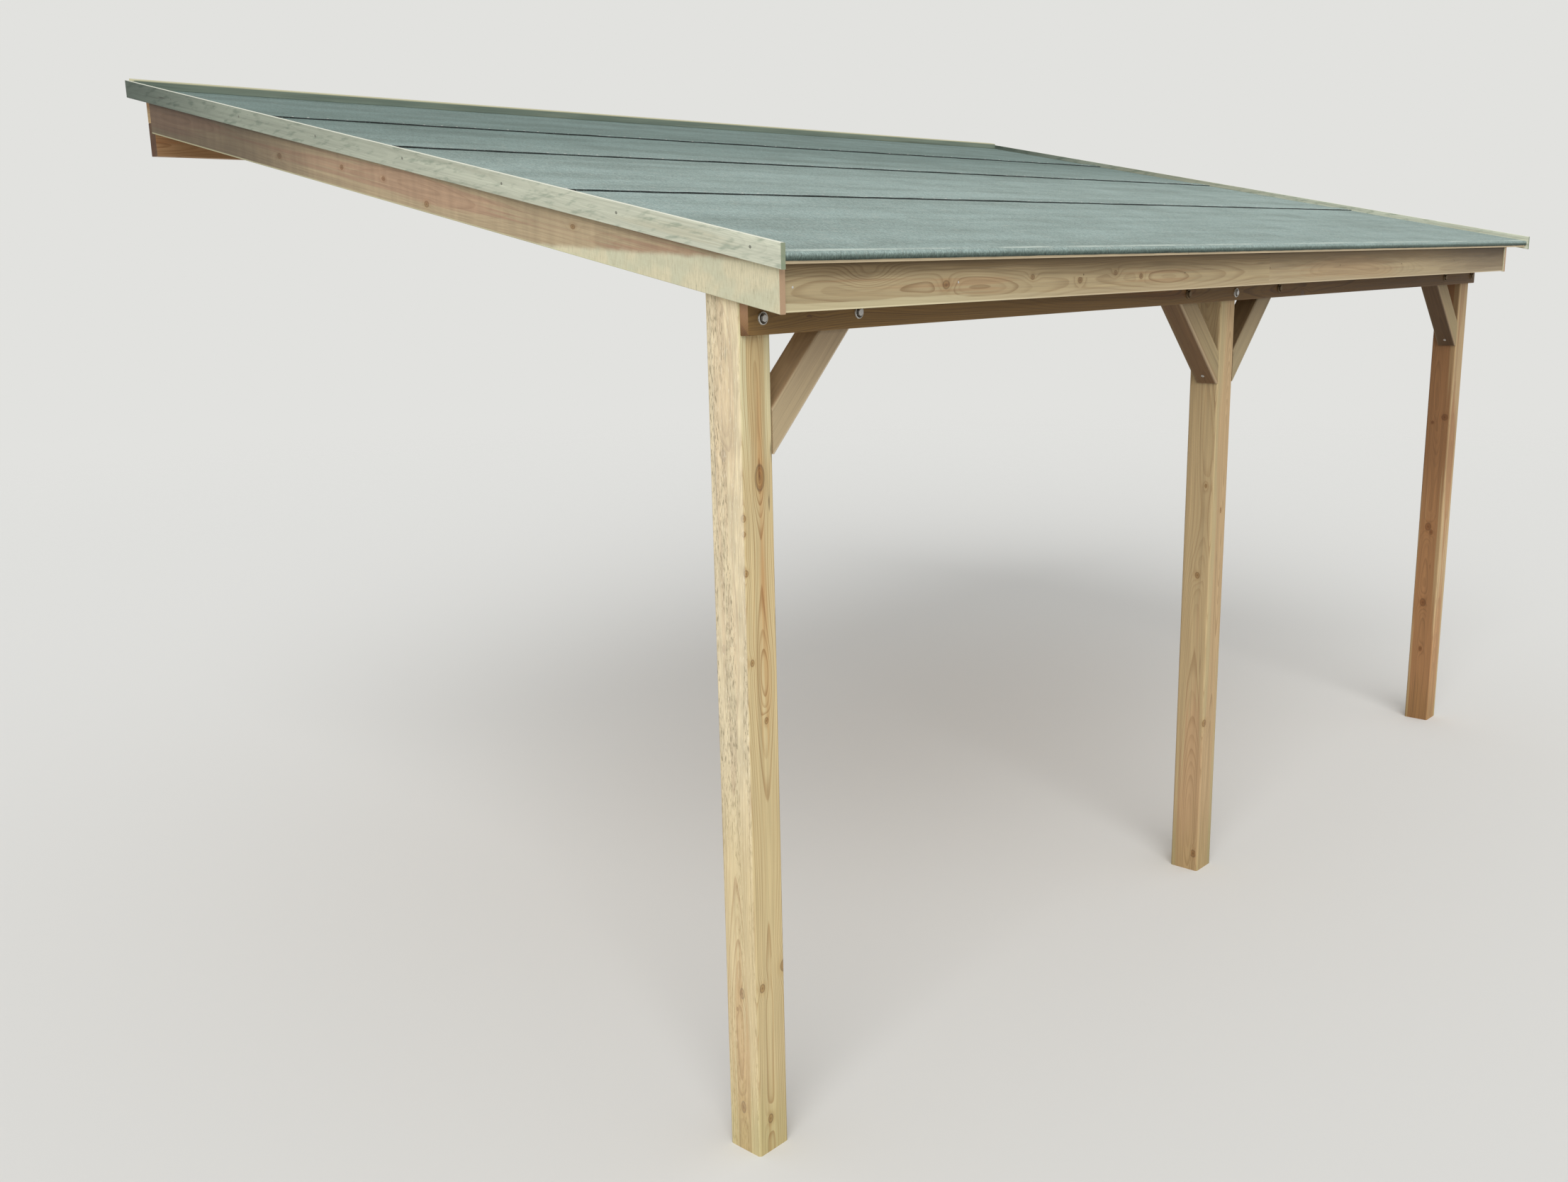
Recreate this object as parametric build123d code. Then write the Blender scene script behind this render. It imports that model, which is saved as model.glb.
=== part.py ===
from build123d import *
import math
import os

# All lengths are in millimetres and all angles in degrees.
# The carport is laid out in yard coordinates: x runs along the parking bay from the near post,
# y runs from the outer face of the posts to the house wall, z is the height above the ground.
# At the end every piece moves so that the origin lies on the back face of the wall plate.

# Posts
post_side = 115
post_round = 9
bay = 2550
post_names = ["near", "middle", "far"]

# Eave beam, planted on the outer faces of the posts and braces, in two lengths
clear_height = 2250
beam_thick = 27
beam_depth = 120
beam_end_back = 7
beam_joint_past_post = 5
timber_round = 3

# Knee braces at 45 degrees
brace_thick = 85
brace_depth = 90
brace_round = 8
brace_reach = 312
brace_toe = 10
brace_head_rise = 95

# Roof slope and rafters
pitch = 11.4
wall_distance = 3080
rafter_thick = 45
rafter_depth = 95
rafter_count = 9
rafter_tail = 133
rafter_seat = 20

# Wall plate and the holes of its wall bolts
plate_thick = 45
plate_depth = 120
plate_hole_radius = 6.5
plate_hole_count = 8
plate_hole_from_end = 227.5

# Roof boards
board_thick = 24
board_width = 135
board_gap = 3
board_joint_gap = 2
board_proud = 10
boards_per_node = 6
far_overhang = 260

# Fascia and barge boards
fascia_thick = 20
fascia_depth = 115
barge_thick = 20
barge_depth = 115
barge_proud = 5
barge_short_of_wall = 138
face_board_round = 2

# Verge trims, standing above the felt
trim_thick = 16
trim_depth = 60
trim_below_boards = 9
trim_past_boards = 16

# Roofing felt in courses from the eave up, each lapped over the one below,
# and how far up the slope each seam lies from an even spacing
felt_thick = 4
felt_seam_offsets = [83, 106, 9]
felt_lap = 80
felt_step = 14
felt_drip = 20
felt_round = 6

# Batten that holds the felt down along the wall
batten_thick = 30
batten_depth = 42

# Worked out: the posts and the frame
post_x = [index * bay for index in range(len(post_names))]
frame_length = post_x[-1] + post_side
beam_outer_y = -beam_thick
beam_top = clear_height + beam_depth
beam_joint_x = post_x[1] + post_side + beam_joint_past_post

# Worked out: the roof planes, given as heights at the outer face of the beam
slope = math.tan(math.radians(pitch))
slope_cos = math.cos(math.radians(pitch))
underside_at_beam = beam_top - rafter_seat
boards_at_beam = underside_at_beam + rafter_depth / slope_cos


def rafter_underside(y):
    """Height of the rafters' lower edge."""
    return underside_at_beam + (y - beam_outer_y) * slope


def boards_underside(y):
    """Height of the rafters' upper edge, where the roof boards lie."""
    return boards_at_beam + (y - beam_outer_y) * slope


# Worked out: the eave and the verges
rafter_end_y = -rafter_tail
fascia_y = rafter_end_y - fascia_thick
boards_edge_y = fascia_y - board_proud
trim_end_y = boards_edge_y - trim_past_boards
roof_near_x = -barge_thick
roof_far_x = frame_length + barge_thick + far_overhang
boards_run = (wall_distance - boards_edge_y) / slope_cos

# Worked out: the wall plate, which the outer rafters end flush with
plate_near_x = (post_side - rafter_thick) / 2
plate_far_x = frame_length - plate_near_x
plate_top = rafter_underside(wall_distance)
plate_y = wall_distance - plate_thick
plate_centre = Vector((plate_near_x + plate_far_x) / 2, wall_distance, plate_top - plate_depth / 2)


def block(x0, x1, y0, y1, z0, z1):
    """A box between six planes."""
    return Pos(x0, y0, z0) * Box(x1 - x0, y1 - y0, z1 - z0, align=(Align.MIN, Align.MIN, Align.MIN))


def profile_along_x(points, x0, x1):
    """A y-z outline carried along x."""
    outline = Polyline([(0, y, z) for y, z in points], close=True)
    return Pos(x0, 0, 0) * extrude(make_face(outline), amount=x1 - x0, dir=(1, 0, 0))


def profile_along_y(points, y0, y1):
    """An x-z outline carried along y."""
    outline = Polyline([(x, 0, z) for x, z in points], close=True)
    return Pos(0, y0, 0) * extrude(make_face(outline), amount=y1 - y0, dir=(0, 1, 0))


def ease(part, axis, radius):
    """Round the long arrises of a planed timber, which all run along one axis."""
    return fillet(part.edges().filter_by(axis), radius)


def ease_uphill(part, radius):
    """Round the long arrises of a board or rafter that run up the roof."""
    uphill = Vector(0, slope_cos, slope * slope_cos)
    arrises = [edge for edge in part.edges() if abs(edge.tangent_at(0.5).dot(uphill)) > 0.999]
    return fillet(arrises, radius)


def on_boards(along, above):
    """The y-z point at a distance up the slope from the boards' edge and square above their underside."""
    y = boards_edge_y + along * slope_cos - above * slope * slope_cos
    z = boards_underside(boards_edge_y) + along * slope * slope_cos + above * slope_cos
    return y, z


def sloped_board(along0, along1, above0, above1, x0, x1):
    """A straight board that lies with the roof, with ends square to the slope."""
    corners = [(along0, above0), (along1, above0), (along1, above1), (along0, above1)]
    return profile_along_x([on_boards(*corner) for corner in corners], x0, x1)


def plumb_board(y0, y1, above0, above1, x0, x1, base):
    """A sloping board whose two ends are cut plumb, between two heights square above a roof plane."""
    low, high = above0 / slope_cos, above1 / slope_cos
    points = [(y0, base(y0) + low), (y1, base(y1) + low), (y1, base(y1) + high), (y0, base(y0) + high)]
    return profile_along_x(points, x0, x1)


def make_post(x):
    post = block(x, x + post_side, 0, post_side, 0, beam_top)
    post = ease(post, Axis.Z, post_round)
    sky = [
        (-post_side, rafter_underside(-post_side)),
        (2 * post_side, rafter_underside(2 * post_side)),
        (2 * post_side, beam_top + post_side),
        (-post_side, beam_top + post_side),
    ]
    return post - profile_along_x(sky, x - post_side, x + 2 * post_side)


def make_beam(x0, x1):
    beam = block(x0, x1, beam_outer_y, 0, clear_height, beam_top)
    return ease(beam, Axis.X, timber_round)


def make_brace(face_x, direction):
    """A brace from a post's side face up behind the beam; direction is +1 or -1 along x."""
    width = brace_depth * math.sqrt(2)
    foot_z = clear_height - brace_reach
    head_z = clear_height + brace_head_rise
    rise = head_z - foot_z
    points = [(-width, -width), (rise + width, rise + width), (rise + width, rise + 2 * width), (-width, 0)]
    brace = profile_along_y([(face_x + direction * x, foot_z + z) for x, z in points], 0, brace_thick)
    leaning = [edge for edge in brace.edges() if abs(abs(edge.tangent_at(0.5).X) - math.sqrt(0.5)) < 0.01]
    brace = fillet(leaning, brace_round)
    x0, x1 = sorted([face_x, face_x + direction * (rise + width)])
    return brace & block(x0, x1, 0, brace_thick, foot_z + brace_toe, head_z)


def make_rafter(centre_x):
    """A rafter with a level seat over the beam and a birdsmouth over the wall plate."""
    x0, x1 = centre_x - rafter_thick / 2, centre_x + rafter_thick / 2
    rafter = plumb_board(rafter_end_y, wall_distance, 0, rafter_depth, x0, x1, rafter_underside)
    rafter = ease_uphill(rafter, timber_round)
    rafter -= block(x0, x1, beam_outer_y, 0, clear_height, beam_top)
    return rafter - block(x0, x1, plate_y, wall_distance, plate_top - plate_depth, plate_top)


def make_wall_plate():
    plate = block(plate_near_x, plate_far_x, plate_y, wall_distance, plate_top - plate_depth, plate_top)
    plate = ease(plate, Axis.X, timber_round)
    drill = Cylinder(plate_hole_radius, 2 * plate_thick, rotation=(90, 0, 0))
    first_x = plate_near_x + plate_hole_from_end
    spacing = (plate_far_x - plate_hole_from_end - first_x) / (plate_hole_count - 1)
    for index in range(plate_hole_count):
        plate -= Pos(first_x + index * spacing, plate_y, plate_centre.Z) * drill
    return plate


def make_roof_boards():
    """Open-jointed roof boards, each course in two lengths that meet over a rafter."""
    pitch_of_courses = board_width + board_gap
    count = math.ceil(boards_run / pitch_of_courses)
    joint_rafters = [rafter_count // 3, rafter_count - 1 - rafter_count // 3]
    nodes = []
    for index in range(count):
        along0 = index * pitch_of_courses
        along1 = min(along0 + board_width, boards_run)
        joint_x = rafter_x[joint_rafters[index % 2]]
        course = [
            sloped_board(along0, along1, 0, board_thick, roof_near_x, joint_x - board_joint_gap / 2),
            sloped_board(along0, along1, 0, board_thick, joint_x + board_joint_gap / 2, roof_far_x),
        ]
        if index % boards_per_node == 0:
            nodes.append([])
        nodes[-1] += course
    return nodes


def make_fascia(x0, x1):
    """The eave board, plumb, with its top edge bevelled to lie under the roof boards."""
    low = boards_underside(fascia_y) - fascia_depth
    points = [
        (fascia_y, low),
        (rafter_end_y, low),
        (rafter_end_y, boards_underside(rafter_end_y)),
        (fascia_y, boards_underside(fascia_y)),
    ]
    fascia = profile_along_x(points, x0, x1)
    low_edges = fascia.edges().filter_by(Axis.X).sort_by(Axis.Z)[:2]
    return fillet(low_edges, face_board_round)


def make_barge(x0, x1):
    """A board down the verge under the roof boards, stopping short of the wall."""
    end_y = wall_distance - barge_short_of_wall
    barge = plumb_board(fascia_y - barge_proud, end_y, -barge_depth, 0, x0, x1, boards_underside)
    return ease_uphill(barge, face_board_round)


def make_trim(x0, x1):
    """A strip up the verge that covers the ends of the roof boards and stands above the felt."""
    top = trim_depth - trim_below_boards
    trim = plumb_board(trim_end_y, wall_distance, -trim_below_boards, top, x0, x1, boards_underside)
    return ease_uphill(trim, face_board_round)


def make_felt_course(seam, end):
    """A felt course from its visible lower edge up, stepping down behind the course it laps over."""
    base, top = board_thick, board_thick + felt_thick
    lap_end = seam + felt_lap
    foot = lap_end + felt_step
    under = [(seam, top), (lap_end, top), (foot, base), (end, base)]
    over = [(end, top), (foot, top), (lap_end, top + felt_thick), (seam, top + felt_thick)]
    return profile_along_x([on_boards(*point) for point in under + over], roof_near_x, roof_far_x)


def make_eave_felt(end):
    """The lowest felt course, turned down over the edge of the roof boards."""
    base, top = board_thick, board_thick + felt_thick
    hem = top - felt_drip
    points = [(-felt_thick, hem), (0, hem), (0, base), (end, base), (end, top), (-felt_thick, top)]
    felt = profile_along_x([on_boards(*point) for point in points], roof_near_x, roof_far_x)
    corner = Vector(0, *on_boards(-felt_thick, top))
    bend = [edge for edge in felt.edges().filter_by(Axis.X) if abs((edge @ 0 - corner).Y) < 1
            and abs((edge @ 0 - corner).Z) < 1]
    return fillet(bend, felt_round)


def make_wall_batten():
    """A batten on the felt along the wall, from verge to verge."""
    felt_top = board_thick + felt_thick
    y0, above1 = wall_distance - batten_depth, felt_top + batten_thick
    batten = plumb_board(y0, wall_distance, felt_top, above1, roof_near_x, roof_far_x, boards_underside)
    return ease(batten, Axis.X, face_board_round)


rafter_span = frame_length - post_side
rafter_x = [post_side / 2 + index * rafter_span / (rafter_count - 1) for index in range(rafter_count)]
middle_x = frame_length / 2
nodes = {}

# Posts and the knee braces that lean on them
for name, x in zip(post_names, post_x):
    nodes["post_" + name] = make_post(x)
nodes["brace_near"] = make_brace(post_x[0] + post_side, 1)
nodes["brace_middle_near"] = make_brace(post_x[1], -1)
nodes["brace_middle_far"] = make_brace(post_x[1] + post_side, 1)
nodes["brace_far"] = make_brace(post_x[2], -1)

# Eave beam, wall plate and rafters
nodes["eave_beam_near"] = make_beam(beam_end_back, beam_joint_x)
nodes["eave_beam_far"] = make_beam(beam_joint_x, frame_length - beam_end_back)
nodes["wall_plate"] = make_wall_plate()
for number, x in enumerate(rafter_x, 1):
    nodes[f"rafter_{number}"] = make_rafter(x)

# Roof boards and felt
for number, boards in enumerate(make_roof_boards(), 1):
    nodes[f"roof_boards_{number}"] = Compound(children=boards)
even_exposure = boards_run / (len(felt_seam_offsets) + 1)
seams = [number * even_exposure + offset for number, offset in enumerate(felt_seam_offsets, 1)]
felt_ends = [seam + felt_lap for seam in seams] + [boards_run]
nodes["roof_felt_1"] = make_eave_felt(felt_ends[0])
for number, (seam, end) in enumerate(zip(seams, felt_ends[1:]), 2):
    nodes[f"roof_felt_{number}"] = make_felt_course(seam, end)

# Fascia, barge boards, verge trims and the batten at the wall
nodes["fascia_near"] = make_fascia(0, middle_x)
nodes["fascia_far"] = make_fascia(middle_x, frame_length)
nodes["barge_board_near"] = make_barge(roof_near_x, 0)
nodes["barge_board_far"] = make_barge(frame_length, frame_length + barge_thick)
nodes["verge_trim_near"] = make_trim(roof_near_x - trim_thick, roof_near_x)
nodes["verge_trim_far"] = make_trim(roof_far_x, roof_far_x + trim_thick)
nodes["wall_batten"] = make_wall_batten()

os.makedirs("parts", exist_ok=True)
to_wall_plate = Pos(-plate_centre.X, -plate_centre.Y, -plate_centre.Z)
for name, piece in nodes.items():
    export_step(to_wall_plate * piece, f"parts/{name}.step")
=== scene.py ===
import math

import bmesh
import bpy
import numpy as np
from bpy.props import FloatProperty, FloatVectorProperty, PointerProperty
from bpy.types import Operator, Panel, PropertyGroup
from mathutils import Matrix, Vector


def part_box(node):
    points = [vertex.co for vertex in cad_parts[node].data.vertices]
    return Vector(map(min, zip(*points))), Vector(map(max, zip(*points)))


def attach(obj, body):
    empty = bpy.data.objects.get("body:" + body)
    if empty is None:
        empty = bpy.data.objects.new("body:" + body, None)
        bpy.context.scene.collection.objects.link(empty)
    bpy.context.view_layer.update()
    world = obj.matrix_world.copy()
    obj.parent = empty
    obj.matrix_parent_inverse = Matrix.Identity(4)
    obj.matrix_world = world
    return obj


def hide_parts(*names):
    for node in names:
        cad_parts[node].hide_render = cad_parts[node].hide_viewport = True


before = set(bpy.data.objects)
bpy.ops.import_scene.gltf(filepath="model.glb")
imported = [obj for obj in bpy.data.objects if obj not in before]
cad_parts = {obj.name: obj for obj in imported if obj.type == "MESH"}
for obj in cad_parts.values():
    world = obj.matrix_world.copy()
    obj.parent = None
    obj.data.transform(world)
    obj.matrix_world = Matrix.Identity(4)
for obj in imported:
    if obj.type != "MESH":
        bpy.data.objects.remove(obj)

bl_info = {
    "name": "Lean-to carport",
    "version": (1, 0, 0),
    "blender": (4, 5, 0),
    "location": "View3D > Sidebar > Carport",
    "description": "Finishes the timber of a lean-to carport, lays its felt and fits its fixings",
    "category": "Add Mesh",
}

# The yard: x along the bay from the near post, y from the posts' outer faces to the wall, z up
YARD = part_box("post_near")[0]
ROOF_NEAR, ROOF_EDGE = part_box("roof_boards_1")[0].x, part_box("roof_boards_1")[0]
ROOF_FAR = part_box("roof_boards_1")[1].x
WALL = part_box("wall_plate")[1].y
BOARD_THICK = 0.024
BOARD_PITCH = 0.138
PITCH = math.radians(11.4)
BRACES = [("brace_near", 1), ("brace_middle_near", -1), ("brace_middle_far", 1), ("brace_far", -1)]
BRACE_BOLT_REACH = 0.3685
WALL_HOLES = 8
WALL_HOLE_FROM_END = 0.2275
FASCIA_NAIL_HEIGHT = 0.058
RIPPLE_LENGTHS = (1.9, 0.83, 0.47, 0.31, 0.19)
NO_KNOT = 9.0
TRIM_MARK_FIRST = 0.137
TRIM_MARK_SPACING = 0.47
TRIM_MARK_HEIGHT = 0.034
FELT_COLUMN = 0.0125
BOARD_JOINTS = ("rafter_4", "rafter_6")
NAIL_PROUD = 0.0006
CLOUT_PROUD = 0.0009


def yard(x, y, z):
    """A point of the model's frame from yard coordinates in metres."""
    return Vector((YARD.x + x, YARD.y + y, YARD.z + z))


def centre_x(node):
    """Middle of a node along the bay."""
    low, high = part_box(node)
    return (low.x + high.x) / 2


def colour(red, green, blue):
    """Linear colour from a screen colour of 0 to 255 a channel."""
    screen = [value / 255 for value in (red, green, blue)]
    return [value / 12.92 if value < 0.04045 else ((value + 0.055) / 1.055) ** 2.4 for value in screen]


def opaque(rgb):
    """Four channels for a colour socket."""
    return (*rgb, 1.0)


# Properties

def length(name, text, default):
    return FloatProperty(name=name, description=text, default=default, min=0, unit="LENGTH")


def angle(name, text, default):
    return FloatProperty(name=name, description=text, default=default, subtype="ANGLE")


def share(name, text, default):
    return FloatProperty(name=name, description=text, default=default, min=0, max=1, subtype="FACTOR")


def tone(name, text, *screen):
    return FloatVectorProperty(name=name, description=text, default=colour(*screen), min=0, max=1,
                               subtype="COLOR")


def pine_finish(label, sap, heart, ring, ring_strength, heart_radius, knots, grime):
    """Class of properties for the pine of one group of timbers; the groups differ in their defaults."""
    fields = {
        "sap": tone("Sapwood", f"Sapwood of the {label}", *sap),
        "heart": tone("Heartwood", f"Wood near the pith of the {label}", *heart),
        "ring": tone("Late wood", f"Dark line of each growth ring in the {label}", *ring),
        "ring_strength": share("Ring strength", "How strongly the rings show", ring_strength),
        "heart_radius": length("Heart radius", "Radius of the heartwood round the pith", heart_radius),
        "knots": share("Knots", "Share of the possible knots that are there", knots),
        "grime": share("Grime", "Strength of the grey streaks", grime),
    }
    words = {"__annotations__": fields, "__doc__": f"Finish of the {label}."}
    return type("CARPORT_PG_" + label.replace(" ", "_"), (PropertyGroup,), words)


class CARPORT_PG_grain(PropertyGroup):
    """Grain that all the timber shares."""

    ring_spacing: length("Ring spacing", "Mean width of a growth ring", 0.0038)
    wander: length("Pith wander", "How far the pith strays along a timber", 0.050)
    relief: share("Relief", "Strength of the raised grain", 0.5)


class CARPORT_PG_felt(PropertyGroup):
    """Roofing felt."""

    granules: tone("Granules", "Mineral granules", 151, 169, 164)
    granules_dark: tone("Dark granules", "Granules in the mottled bands", 131, 147, 141)
    bitumen: tone("Bitumen", "Cut edges and the underside", 38, 40, 40)
    pitch: angle("Pitch", "Slope of the roof", PITCH)
    thickness: length("Thickness", "Thickness of the felt", 0.004)
    lap: length("Lap", "How far a course laps over the one below", 0.080)
    step: length("Step", "Run in which a course steps down behind a lap", 0.014)
    hem: length("Hem", "How far the lowest course turns down at the eave", 0.020)
    roll: length("Roll", "Outer radius of the turn at the eave", 0.010)
    ripple: length("Ripple", "Height of the soft ripples", 0.0012)
    edge_wave: length("Edge wave", "How far a cut edge strays from straight", 0.0030)
    clout_spacing: length("Clout spacing", "Distance between the clout nails of a lap", 0.075)


class CARPORT_PG_fixings(PropertyGroup):
    """Bolts, screws and nails."""

    zinc: tone("Zinc", "Zinc coating that has dulled", 204, 203, 198)
    # Painted shade: the dark dish of a coach bolt's washer
    steel: tone("Dark steel", "Dirt in the dish of a coach bolt's washer", 96, 86, 74)
    # Zinc darkened brown, partly dirt and partly painted shade, for the fixings under the eave
    dull: tone("Dull zinc", "Zinc in the shade, brown with dirt", 122, 104, 80)
    heads: tone("Heads", "Bolt heads and brace screws", 188, 186, 182)
    washer_radius: length("Washer radius", "Outer radius of a bolt's washer", 0.0165)
    across_flats: length("Across flats", "Width of a bolt head or nut across its flats", 0.017)
    head_height: length("Head height", "Height of a bolt head", 0.0085)
    shank_radius: length("Shank radius", "Radius of a bolt's shank", 0.005)
    nail_radius: length("Nail radius", "Radius of a nail's head", 0.0032)
    clout_radius: length("Clout radius", "Radius of a clout nail's head", 0.0046)


class CARPORT_PG_stage(PropertyGroup):
    """Floor, light and camera."""

    floor: tone("Floor", "Floor and background", 226, 226, 223)
    world: FloatProperty(name="World light", description="Strength of the even light", default=0.62, min=0)
    lamp: FloatProperty(name="Lamp", description="Strength of the soft lamp", default=2.0, min=0)
    camera_place: FloatVectorProperty(name="Camera place", description="Camera in yard coordinates",
                                      unit="LENGTH", default=(-2.60703, -2.54243, 2.42698))
    heading: angle("Heading", "Turn from straight at the wall towards the far end", math.radians(47.261))
    dip: angle("Dip", "How far the camera looks down", math.radians(12.647))
    roll: angle("Roll", "Tilt of the camera", math.radians(-1.206))
    lens: FloatProperty(name="Lens", description="Focal length on a 36 mm wide sensor", default=33.785,
                        min=1, unit="CAMERA")


# The far post's darker browns are a painted shade; the beam's dark browns are partly its own timber and
# partly painted shade under the eave
FINISHES = {
    "near_post": pine_finish("near post", (206, 186, 140), (198, 166, 116), (154, 114, 68), 0.8, 0.058,
                             0.05, 0.5),
    "middle_post": pine_finish("middle post", (171, 149, 111), (175, 144, 107), (134, 104, 69), 0.6, 0.064,
                               0.08, 0.4),
    "far_post": pine_finish("far post", (158, 130, 92), (146, 106, 68), (104, 74, 46), 0.45, 0.070, 0.08,
                            0.3),
    "braces": pine_finish("braces", (168, 146, 114), (163, 134, 102), (120, 92, 64), 0.45, 0.050, 0.05,
                          0.4),
    "beam": pine_finish("beam", (128, 99, 55), (124, 88, 47), (82, 57, 32), 0.7, 0.050, 0.20, 0.5),
    "roof_timber": pine_finish("roof timber", (178, 152, 112), (172, 134, 92), (132, 98, 62), 0.8, 0.050,
                               0.30, 0.4),
    "roof_boards": pine_finish("roof boards", (186, 160, 118), (178, 140, 98), (140, 104, 66), 0.8, 0.050,
                               0.40, 0.4),
    "fascia_near": pine_finish("near fascia", (172, 154, 118), (172, 145, 108), (124, 96, 62), 0.75, 0.060,
                               0.06, 0.15),
    "fascia_far": pine_finish("far fascia", (172, 154, 120), (170, 147, 112), (132, 104, 70), 0.32, 0.060,
                              0.0, 0.15),
    "barge_boards": pine_finish("barge boards", (168, 150, 120), (166, 138, 112), (132, 104, 80), 0.35,
                                0.070, 0.06, 0.2),
    "trims": pine_finish("trims", (198, 200, 180), (194, 192, 169), (148, 154, 134), 0.22, 0.040, 0.0, 0.5),
}


# Shader trees

class Graph:
    """Adds nodes to a tree; a value is a number, a vector or another node's output."""

    def __init__(self, tree):
        self.tree = tree

    def node(self, kind, inputs=None, **settings):
        made = self.tree.nodes.new(kind)
        for key, value in settings.items():
            setattr(made, key, value)
        for key, value in (inputs or {}).items():
            self.feed(made.inputs[key], value)
        return made

    def group(self, name, inputs):
        """A node of a group by the group's name."""
        return self.node("ShaderNodeGroup", inputs, node_tree=bpy.data.node_groups[name])

    def feed(self, socket, value):
        if isinstance(value, bpy.types.NodeSocket):
            self.tree.links.new(value, socket)
        else:
            socket.default_value = value

    def math(self, operation, *values):
        return self.node("ShaderNodeMath", dict(enumerate(values)), operation=operation).outputs[0]

    def vector(self, operation, *values):
        made = self.node("ShaderNodeVectorMath", operation=operation)
        for index, value in enumerate(values):
            name = "Scale" if operation == "SCALE" and index == 1 else index
            self.feed(made.inputs[name], value)
        scalar = operation in ("LENGTH", "DOT_PRODUCT", "DISTANCE")
        return made.outputs["Value" if scalar else "Vector"]

    def split(self, value):
        return self.node("ShaderNodeSeparateXYZ", {0: value}).outputs[:]

    def join(self, x, y, z):
        return self.node("ShaderNodeCombineXYZ", {0: x, 1: y, 2: z}).outputs[0]

    def ramp(self, value, low, high):
        """Smooth step from 0 at low to 1 at high; low may be the larger."""
        inputs = {"Value": value, "From Min": min(low, high), "From Max": max(low, high)}
        if low > high:
            inputs.update({"To Min": 1.0, "To Max": 0.0})
        return self.node("ShaderNodeMapRange", inputs, interpolation_type="SMOOTHSTEP").outputs[0]

    def mix(self, factor, first, second):
        made = self.node("ShaderNodeMix", data_type="RGBA")
        for socket, value in ((made.inputs[0], factor), (made.inputs[6], first), (made.inputs[7], second)):
            self.feed(socket, value)
        return made.outputs[2]

    def noise(self, place, detail=2.0, rough=0.5, channel="Fac"):
        inputs = {"Vector": place, "Scale": 1.0, "Detail": detail, "Roughness": rough}
        return self.node("ShaderNodeTexNoise", inputs).outputs[channel]

    def stretched(self, x, y, z, across, along, detail=2.0, rough=0.5, channel="Fac"):
        """Noise with its cells drawn out along z; across and along are cells a metre."""
        place = self.join(self.math("MULTIPLY", x, across), self.math("MULTIPLY", y, across),
                          self.math("MULTIPLY", z, along))
        return self.noise(place, detail, rough, channel)

    def shade(self, value, depth):
        """A factor of 1 minus depth to 1 plus depth from a noise value near one half."""
        return self.math("MULTIPLY_ADD", self.math("SUBTRACT", value, 0.5), 4 * depth, 1.0)

    def mul(self, first, *others):
        """The product of numbers, from the left."""
        for other in others:
            first = self.math("MULTIPLY", first, other)
        return first

    def add(self, first, second):
        return self.math("ADD", first, second)

    def sub(self, first, second):
        return self.math("SUBTRACT", first, second)

    def div(self, first, second):
        return self.math("DIVIDE", first, second)

    def mul_add(self, value, factor, more):
        return self.math("MULTIPLY_ADD", value, factor, more)

    def grey(self, rgb, factor):
        """A colour times a plain factor."""
        return self.vector("SCALE", rgb, factor)

    def tint(self, rgb, factors):
        """A colour or a point times one factor a channel."""
        return self.vector("MULTIPLY", rgb, factors)

    def stain(self, share_of, rgb, factors):
        """A colour partly turned into its own tint."""
        return self.mix(share_of, rgb, self.tint(rgb, factors))

    def coat(self, share_of, rgb, *screen):
        """A colour partly covered by a screen colour."""
        return self.mix(share_of, rgb, opaque(colour(*screen)))

    def normal(self):
        """The three parts of the surface's direction."""
        return self.split(self.node("ShaderNodeNewGeometry").outputs["Normal"])

    def bump(self, shader, height, strength, distance):
        """Raise a shader's surface by a height."""
        inputs = {"Height": height, "Strength": strength, "Distance": distance}
        self.feed(shader.inputs["Normal"], self.node("ShaderNodeBump", inputs).outputs["Normal"])

    def seen_from(self, place, origin, turn):
        """Coordinates turned by a matrix about an origin."""
        inputs = {"Vector": place, "Location": -(turn @ origin), "Rotation": turn.to_euler("XYZ")}
        return self.node("ShaderNodeMapping", inputs).outputs[0]


def new_group(name, inputs, outputs):
    """An empty node group; inputs and outputs map names to (socket type, default)."""
    tree = bpy.data.node_groups.new(name, "ShaderNodeTree")
    for label, (kind, default) in inputs.items():
        socket = tree.interface.new_socket(label, in_out="INPUT", socket_type="NodeSocket" + kind)
        if default is not None:
            socket.default_value = default
    for label, kind in outputs.items():
        tree.interface.new_socket(label, in_out="OUTPUT", socket_type="NodeSocket" + kind)
    graph = Graph(tree)
    return graph, graph.node("NodeGroupInput").outputs, graph.node("NodeGroupOutput").inputs


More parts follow.
